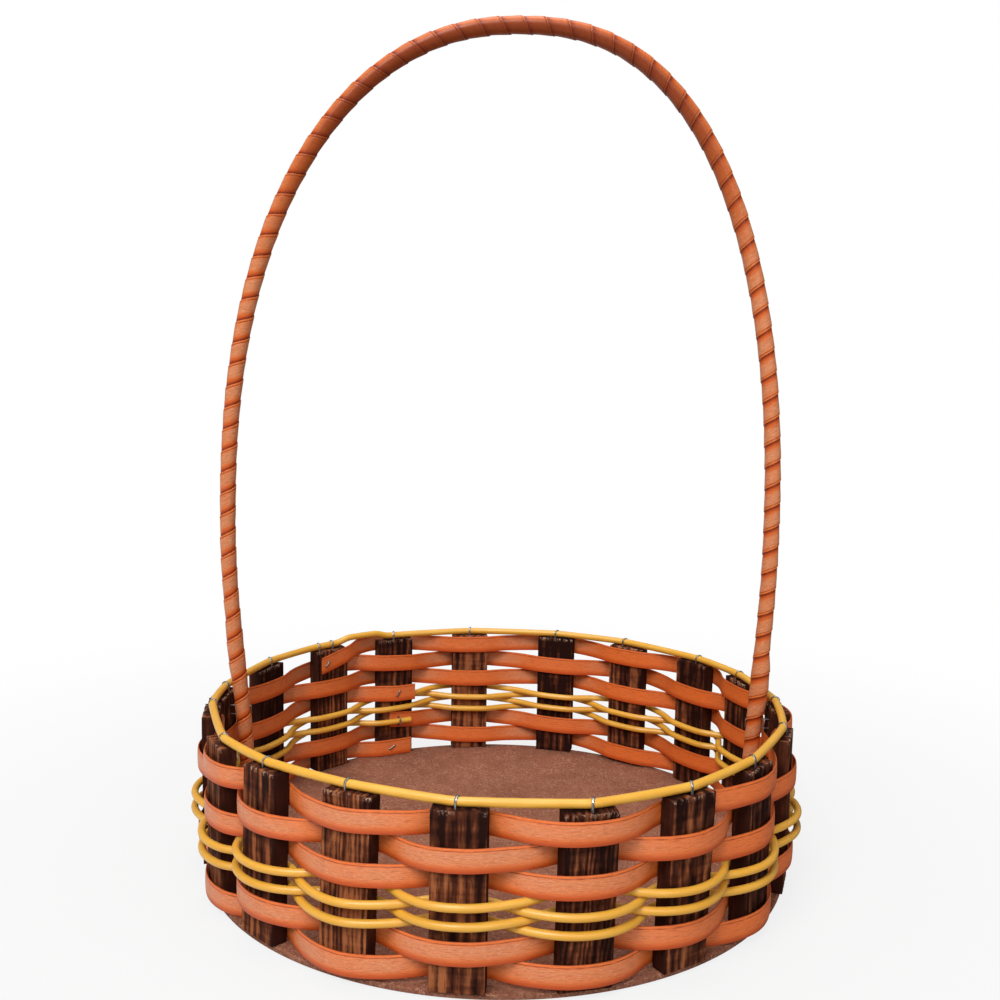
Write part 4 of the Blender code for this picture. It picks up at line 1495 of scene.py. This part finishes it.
@dataclass(frozen=True)
class Handle:
    """The arch's wound strip over its rod, and the staple through each leg.

    The lip, the score and the sunk edge are forms of the strip: their widths are shares across it, and their
    depths are shares of the seam step.
    """

    rod_diameter: float = 6.2 * MM
    strip_thickness: float = 0.60 * MM
    seam_step: float = 0.45 * MM
    lead: float = 11.7 * MM
    sides: int = 36
    first_share: float = 0.86
    leg_reach: float = 141.35 * MM
    splay: float = 8.6 * MM
    splay_foot: float = 20.0 * MM
    spring_height: float = 175.0 * MM
    rise: float = 272.0 * MM
    sway: float = -1.8 * MM
    skew: float = 8.8 * MM
    power: float = 2.3
    skew_power: float = 3.0
    arch_samples: int = 720
    leg_samples: int = 120
    near: float = 1.2 * MM
    staple_drop: float = 9.9 * MM
    thick_places: tuple[float, float] = (103.0 * MM, 92.0 * MM)
    thick_shares: tuple[float, float] = (0.16, 0.32)
    thick_reach: float = 16.0 * MM
    crown_share: float = 0.07
    crown_reach: float = 260.0 * MM
    unevenness: float = 0.06 * MM
    uneven_waves: tuple[float, ...] = (0.031, 0.0173, 0.0077)
    oval: float = 0.6
    oval_turn: float = 1.7
    low_edge: float = 0.18
    lip: float = 0.045
    lip_depth: float = 0.5
    score_half: float = 0.016
    score_depth: float = 0.22
    sunk: float = 0.03
    sunk_depth: float = 0.12
    end_share: float = 0.3
    # Level of the pale tone (wear and painted sheen), and the heights and side share of the painted shade on
    # the arch.
    wear_and_sheen_level: float = 0.8
    painted_shade_low: float = 300.0 * MM
    painted_shade_high: float = 425.0 * MM
    painted_shade_beside: float = 0.3
    across_shares: Shares = (
        0.0, 0.012, 0.05, 0.12, 0.22, 0.35, 0.48, 0.61, 0.73,
        0.82, 0.865, 0.885, 0.905, 0.94, 0.97, 0.988, 0.996,
    )

    @property
    def half_span(self) -> float:
        """Half the arch's width at its spring line."""
        return self.leg_reach + self.splay

    @property
    def wrap_radius(self) -> float:
        """Outside of the wound strip just past a seam."""
        return self.rod_diameter / 2 + SEAT_GAP + self.strip_thickness

    def leg_places(self, leg: Leg, heights: Values) -> Values:
        """Where a leg's middle is along X: side times (half span less the eased splay), plus the eased sway.

        Args:
            leg: Which leg.
            heights: Heights up to the spring line.

        Returns:
            The places.
        """
        drop = eased((self.spring_height - heights) / (self.spring_height - self.splay_foot))
        return leg.value * (self.half_span - self.splay * drop) + self.sway * (1.0 - drop)

    def line(self) -> np.ndarray:
        """The rod's middle: up the left leg, over a skewed superellipse arch and down the right leg.

        Returns:
            The points.
        """
        turn = np.linspace(0.0, math.pi, self.arch_samples)
        level, upright = -np.cos(turn), np.sin(turn)
        rise_share = upright ** (2.0 / self.power)
        x = self.half_span * np.sign(level) * np.abs(level) ** (2.0 / self.power)
        x += self.sway + self.skew * rise_share**self.skew_power
        arch = np.stack([x, 0.0 * x, self.spring_height + self.rise * rise_share], axis=1)
        heights = np.linspace(DISC_THICKNESS + SEAT_GAP, self.spring_height, self.leg_samples)[:-1]
        across = (self.leg_places(leg, heights) for leg in (Leg.LEFT, Leg.RIGHT))
        left, right = (np.stack([places, 0.0 * heights, heights], axis=1) for places in across)
        return np.concatenate([left, arch, right[::-1]])

    def frames(self, wanted: np.ndarray) -> tuple[np.ndarray, np.ndarray]:
        """The rod's middle and its normal in the arch's plane.

        Args:
            wanted: Lengths along the rod.

        Returns:
            The points and the normals.
        """
        line = self.line()
        walked = walked_along(line)

        def at(lengths: np.ndarray) -> np.ndarray:
            """Points at lengths along the line."""
            return np.stack([np.interp(lengths, walked, line[:, axis]) for axis in range(3)], axis=-1)

        behind, ahead = np.maximum(wanted - self.near, 0.0), np.minimum(wanted + self.near, walked[-1])
        return at(wanted), np.cross(BACK, unit(at(ahead) - at(behind)))

    def radii(self, places: np.ndarray, share: np.ndarray, turn: np.ndarray, length: float) -> np.ndarray:
        """The wrap radius plus the seam step times the strip's rise, made uneven and thicker in places.

        The rise goes from the low edge's share to 1 across the strip, less a rounded lip, a shallow score and
        a sunk low edge. The strip is thicker on the outside of the legs, where its ends are doubled, and all
        round over the crown.

        Args:
            places: Places along the rod, a row for each share and turn and a column for each side.
            share: Share across the strip at each row.
            turn: Number of the turn at each row.
            length: The rod's length.

        Returns:
            The radii.
        """
        lip = eased((share - (1.0 - self.lip)) / self.lip) ** 2 * self.lip_depth
        score = np.exp(-(((share - StripFinish.score_place) / self.score_half) ** 2)) * self.score_depth
        sunk = eased(1.0 - share / self.sunk) * self.sunk_depth
        rise = (self.low_edge + (1.0 - self.low_edge) * share) - lip - score - sunk
        angle = np.arange(self.sides) * math.tau / self.sides
        uneven = slow_waves(places, self.uneven_waves, 11)
        uneven += self.oval * np.sin(2 * angle + turn[:, None] * self.oval_turn)
        doubled = sum(
            extra * np.exp(-(((places - place) / self.thick_reach) ** 4))
            for place, extra in zip((self.thick_places[0], length - self.thick_places[1]), self.thick_shares)
        )
        thick = doubled * (0.55 - 0.45 * np.cos(angle))
        thick += self.crown_share * np.exp(-(((places - length / 2) / self.crown_reach) ** 4))
        return (self.wrap_radius + self.seam_step * rise[:, None] + self.unevenness * uneven) * (1.0 + thick)

    def wrap(self) -> Mesh:
        """The wound strip as one helical surface that rises to each lapped edge, with a mark of painted shade
        on the arch.

        Row i of column j lies at lead times (turn + share across + j over the sides) along the rod. Past one
        round, column 0 one turn further on takes the place of the next column, so the helix closes on itself.

        Returns:
            The mesh.
        """
        length = walked_along(self.line())[-1]
        turns = int((length - 2 * self.lead) / self.lead)
        lead = (length - self.lead) / (turns + 1)
        across = np.array(self.across_shares)
        rows = len(across)
        turn, share = (part.ravel() for part in np.meshgrid(np.arange(turns), across, indexing="ij"))
        column = np.arange(self.sides)
        angle = column * math.tau / self.sides
        helix = lead * (turn[:, None] + self.first_share + share[:, None] + column / self.sides)
        places = np.clip(helix, 0.0, length)
        radius = self.radii(places, share, turn, length)
        radius = np.pad(radius, ((1, 1), (0, 0)), constant_values=self.wrap_radius)
        places = np.vstack([np.zeros(self.sides), places, np.full(self.sides, length)])
        middle, normal = self.frames(places)
        spoke = np.cos(angle)[:, None] * normal + np.sin(angle)[:, None] * BACK
        points = middle + radius[..., None] * spoke
        total = len(places)
        number = np.arange(total * self.sides).reshape(total, self.sides)
        body = np.stack([number[:-1, :-1], number[1:, :-1], number[1:, 1:], number[:-1, 1:]], axis=-1)
        last, first = number[:, -1], number[:, 0]
        low, high = slice(1, total - rows - 2), slice(2, total - rows - 1)
        join = np.stack([last[low], last[high], first[rows + 2:-1], first[rows + 1:-2]], axis=-1)
        foot = np.array([[last[0], last[1], *first[rows + 1::-1]]])
        head = np.array([[*last[total - rows - 2:], first[-1], first[-2]]])
        caps = np.stack([number[0], number[-1][::-1]])
        turn_uv = np.concatenate([[0.0], turn, [turns]])
        share_uv = np.pad(share, 1, constant_values=self.end_share)
        u = math.tau * self.wrap_radius * (turn_uv[:, None] + np.arange(self.sides + 1) / self.sides)
        uv = np.stack([u, np.broadcast_to(share_uv[:, None], u.shape)], axis=-1)
        body_uv = np.stack([uv[:-1, :-2], uv[1:, :-2], uv[1:, 1:-1], uv[:-1, 1:-1]], axis=2).reshape(-1, 4, 2)
        join_uv = np.stack([uv[low, -2], uv[high, -2], uv[high, -1], uv[low, -1]], axis=1)
        odd = [np.tile([0.0, self.end_share], (*faces.shape, 1)) for faces in (foot, head, caps)]
        # Painted shade: up on the arch the underside is dark and the sides partly so, while the pale tone
        # stays on the top as a painted highlight.
        held = eased((points[..., 2] - self.painted_shade_low) / (self.painted_shade_high - self.painted_shade_low))
        under = eased((0.65 + np.cos(angle)) / 0.75)
        beside = eased((1.10 + np.cos(angle)) / 0.75)
        grip = held * (self.painted_shade_beside * beside + (1.0 - self.painted_shade_beside) * under)
        worn = self.wear_and_sheen_level * (1.0 - held * beside)
        marks = {"bend": np.zeros(grip.size), "worn": worn.ravel(), "grip": grip.ravel()}
        faces = [body.reshape(-1, 4), join, foot, head, caps]
        return mesh_of("wound_strip", points, faces, [body_uv, join_uv, *odd], marks, math.radians(60))

    def build(self, ring: Ring, frame: dict, staples: Staples) -> None:
        """Makes the wound strip and the leg staples, and dresses the rod.

        Args:
            ring: The slats, which the staples go into.
            frame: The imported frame, whose rod stays.
            staples: The wire.
        """
        strip = StripFinish(
            "wound_strip_finish",
            body=(0.70, 0.148, 0.022),
            pale=(0.62, 0.220, 0.090),
            seam_shade=0.17,
            sheen=0.25,
            rough=(0.32, 0.42),
            painted_sheen_fade=None,
        )
        hand_over(self.wrap(), strip.material(), Slot.STRIP, "handle_wrap")
        rod = frame["nodes"]["handle_rod"]
        rod.data.materials.clear()
        rod.data.materials.append(CaneFinish().material())
        height = ring.top - self.staple_drop
        for leg in Leg:
            middle = leg.value * float(self.leg_places(leg, height))
            crown = middle - self.wrap_radius - self.seam_step - staples.thickness
            reach = ring.outer_reach - ring.thickness - crown + staples.bite / 2
            origin, away = np.array([leg.value * crown, 0.0, height]), np.array([-leg.value, 0.0, 0.0])
            label = leg.name.lower()
            mesh = staples.mesh(f"leg_wire_{label}", staples.span, reach, Staples.stance(origin, UP, away))
            hand_over(mesh, staples.finish, Slot.WIRE, f"handle_staple_{label}")


@dataclass(frozen=True)
class Studio:
    """The camera, the soft lamps and the pale floor."""

    eye: Triple = (0.01811869, -0.59227095, 0.26338457)
    forward: Triple = (-0.03146855, 0.9931915, -0.11216226)
    right: Triple = (0.99929062, 0.03358578, 0.01703681)
    up: Triple = (-0.02068788, 0.11154657, 0.99354385)
    lens: float = 39.04
    sensor: float = 36.0
    clip: tuple[float, float] = (0.01, 50.0)
    lamps: tuple[tuple[str, Triple, float, float], ...] = (
        ("key_lamp", (-0.60, -1.40, 1.7), 1.1, 40.0),
        ("top_lamp", (-0.1, 0.2, 2.0), 1.0, 15.0),
        ("fill_lamp", (0.8, -1.7, 1.0), 1.0, 9.0),
    )
    lamp_aim: Triple = (0.0, 0.0, 0.12)
    floor_size: float = 14.0
    floor_drop: float = 0.4 * MM
    floor_dark: Triple = (0.50, 0.50, 0.50)
    floor_pale: Triple = (0.52, 0.52, 0.52)
    white_near: float = 0.12
    white_far: float = 0.62
    near_glow: float = 0.82
    gloss_left: float = -0.20
    gloss_right: float = 0.15
    gloss_glow: tuple[float, float] = (0.95, 0.12)
    sky: float = 0.22
    sky_gloss: float = 0.05

    def camera(self) -> None:
        """Places the camera at the photo's viewpoint, its columns right, up and back."""
        data = bpy.data.cameras.new("camera")
        data.lens, data.sensor_width = self.lens, self.sensor
        data.clip_start, data.clip_end = self.clip
        camera = bpy.data.objects.new("camera", data)
        bpy.context.scene.collection.objects.link(camera)
        turn = Matrix((Vector(self.right), Vector(self.up), -Vector(self.forward))).transposed().to_4x4()
        camera.matrix_world = Matrix.Translation(Vector(self.eye)) @ turn
        bpy.context.scene.camera = camera

    def lamp(self, name: str, place: Triple, size: float, power: float) -> None:
        """A soft square lamp that looks at the basket's middle.

        Args:
            name: Name of the lamp.
            place: Where it hangs.
            size: Length of its side.
            power: Its power in watts.
        """
        data = bpy.data.lights.new(name, "AREA")
        data.shape, data.size, data.energy = "SQUARE", size, power
        lamp = bpy.data.objects.new(name, data)
        bpy.context.scene.collection.objects.link(lamp)
        turn = (Vector(self.lamp_aim) - Vector(place)).to_track_quat("-Z", "Y").to_matrix().to_4x4()
        lamp.matrix_world = Matrix.Translation(Vector(place)) @ turn

    def floor(self) -> None:
        """A wide pale floor that keeps the basket's shadow, white to the camera and to gloss on the left."""
        half = self.floor_size / 2
        corners = [(-half, -half), (half, -half), (half, half), (-half, half)]
        mesh = bpy.data.meshes.new("floor")
        mesh.from_pydata([(x, y, -self.floor_drop) for x, y in corners], [], [(0, 1, 2, 3)])
        floor = bpy.data.objects.new("floor", mesh)
        bpy.context.scene.collection.objects.link(floor)
        bench = Bench(bpy.data.materials.new("floor_finish"))
        place = bench.place()
        tone = bench.window(bench.noise(place, 3.0), 0.2, 0.8)
        mesh.materials.append(
            bench.dress(base_color=bench.coats(self.floor_dark, (tone, self.floor_pale)), roughness=0.9)
        )
        rays = bench.put("LightPath", {}).outputs
        gloss = bench.window(bench.axis(place, 0), self.gloss_left, self.gloss_right, *self.gloss_glow)
        strength = bench.calc("MAXIMUM", rays["Is Camera Ray"], gloss)
        glow = bench.put("Emission", {"Color": (1.0, 1.0, 1.0), "Strength": strength}).outputs[0]
        away = bench.put("VectorMath", {0: place}, operation="LENGTH").outputs["Value"]
        white = bench.window(away, self.white_near, self.white_far, self.near_glow, 1.0)
        share = bench.calc("MAXIMUM", bench.times(rays["Is Camera Ray"], white), rays["Is Glossy Ray"])
        matt = bench.nodes["Principled BSDF"].outputs[0]
        mixed = bench.put("MixShader", {0: share, 1: matt, 2: glow}).outputs[0]
        bench.join(bench.nodes["Material Output"].inputs["Surface"], mixed)

    def sky_light(self) -> None:
        """An even sky that the camera sees as white, and gloss as a paler grey than its light."""
        sky = bpy.data.worlds.new("studio_sky")
        bpy.context.scene.world = sky
        bench = Bench(sky)
        rays = bench.put("LightPath", {}).outputs
        seen = bench.calc("MULTIPLY_ADD", rays["Is Glossy Ray"], self.sky_gloss, rays["Is Camera Ray"])
        strength = bench.put("MapRange", {"Value": seen, "To Min": self.sky, "To Max": 1.0}).outputs[0]
        background = bench.nodes["Background"]
        bench.join(background.inputs["Color"], (1.0, 1.0, 1.0))
        bench.join(background.inputs["Strength"], strength)

    def build(self) -> None:
        """Sets up the view, the light and the floor."""
        self.camera()
        for lamp in self.lamps:
            self.lamp(*lamp)
        self.floor()
        self.sky_light()
        bpy.context.scene.view_settings.view_transform = "Standard"


def main() -> None:
    """Loads the frame and builds each sub-assembly over it."""
    logging.basicConfig(level=logging.INFO, format="%(name)s: %(message)s")
    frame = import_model()
    ring = Ring()
    staples = Staples(WireFinish().material())
    strip, cord = StripFinish().material(), CordFinish().material()
    weave = Weave()
    Studio().build()
    Base().build(ring, staples)
    Slats().build(ring)
    weave.build(ring, staples, strip, cord)
    Rim().build(ring, weave, staples, cord)
    Handle().build(ring, frame, staples)


if __name__ == "__main__":
    main()
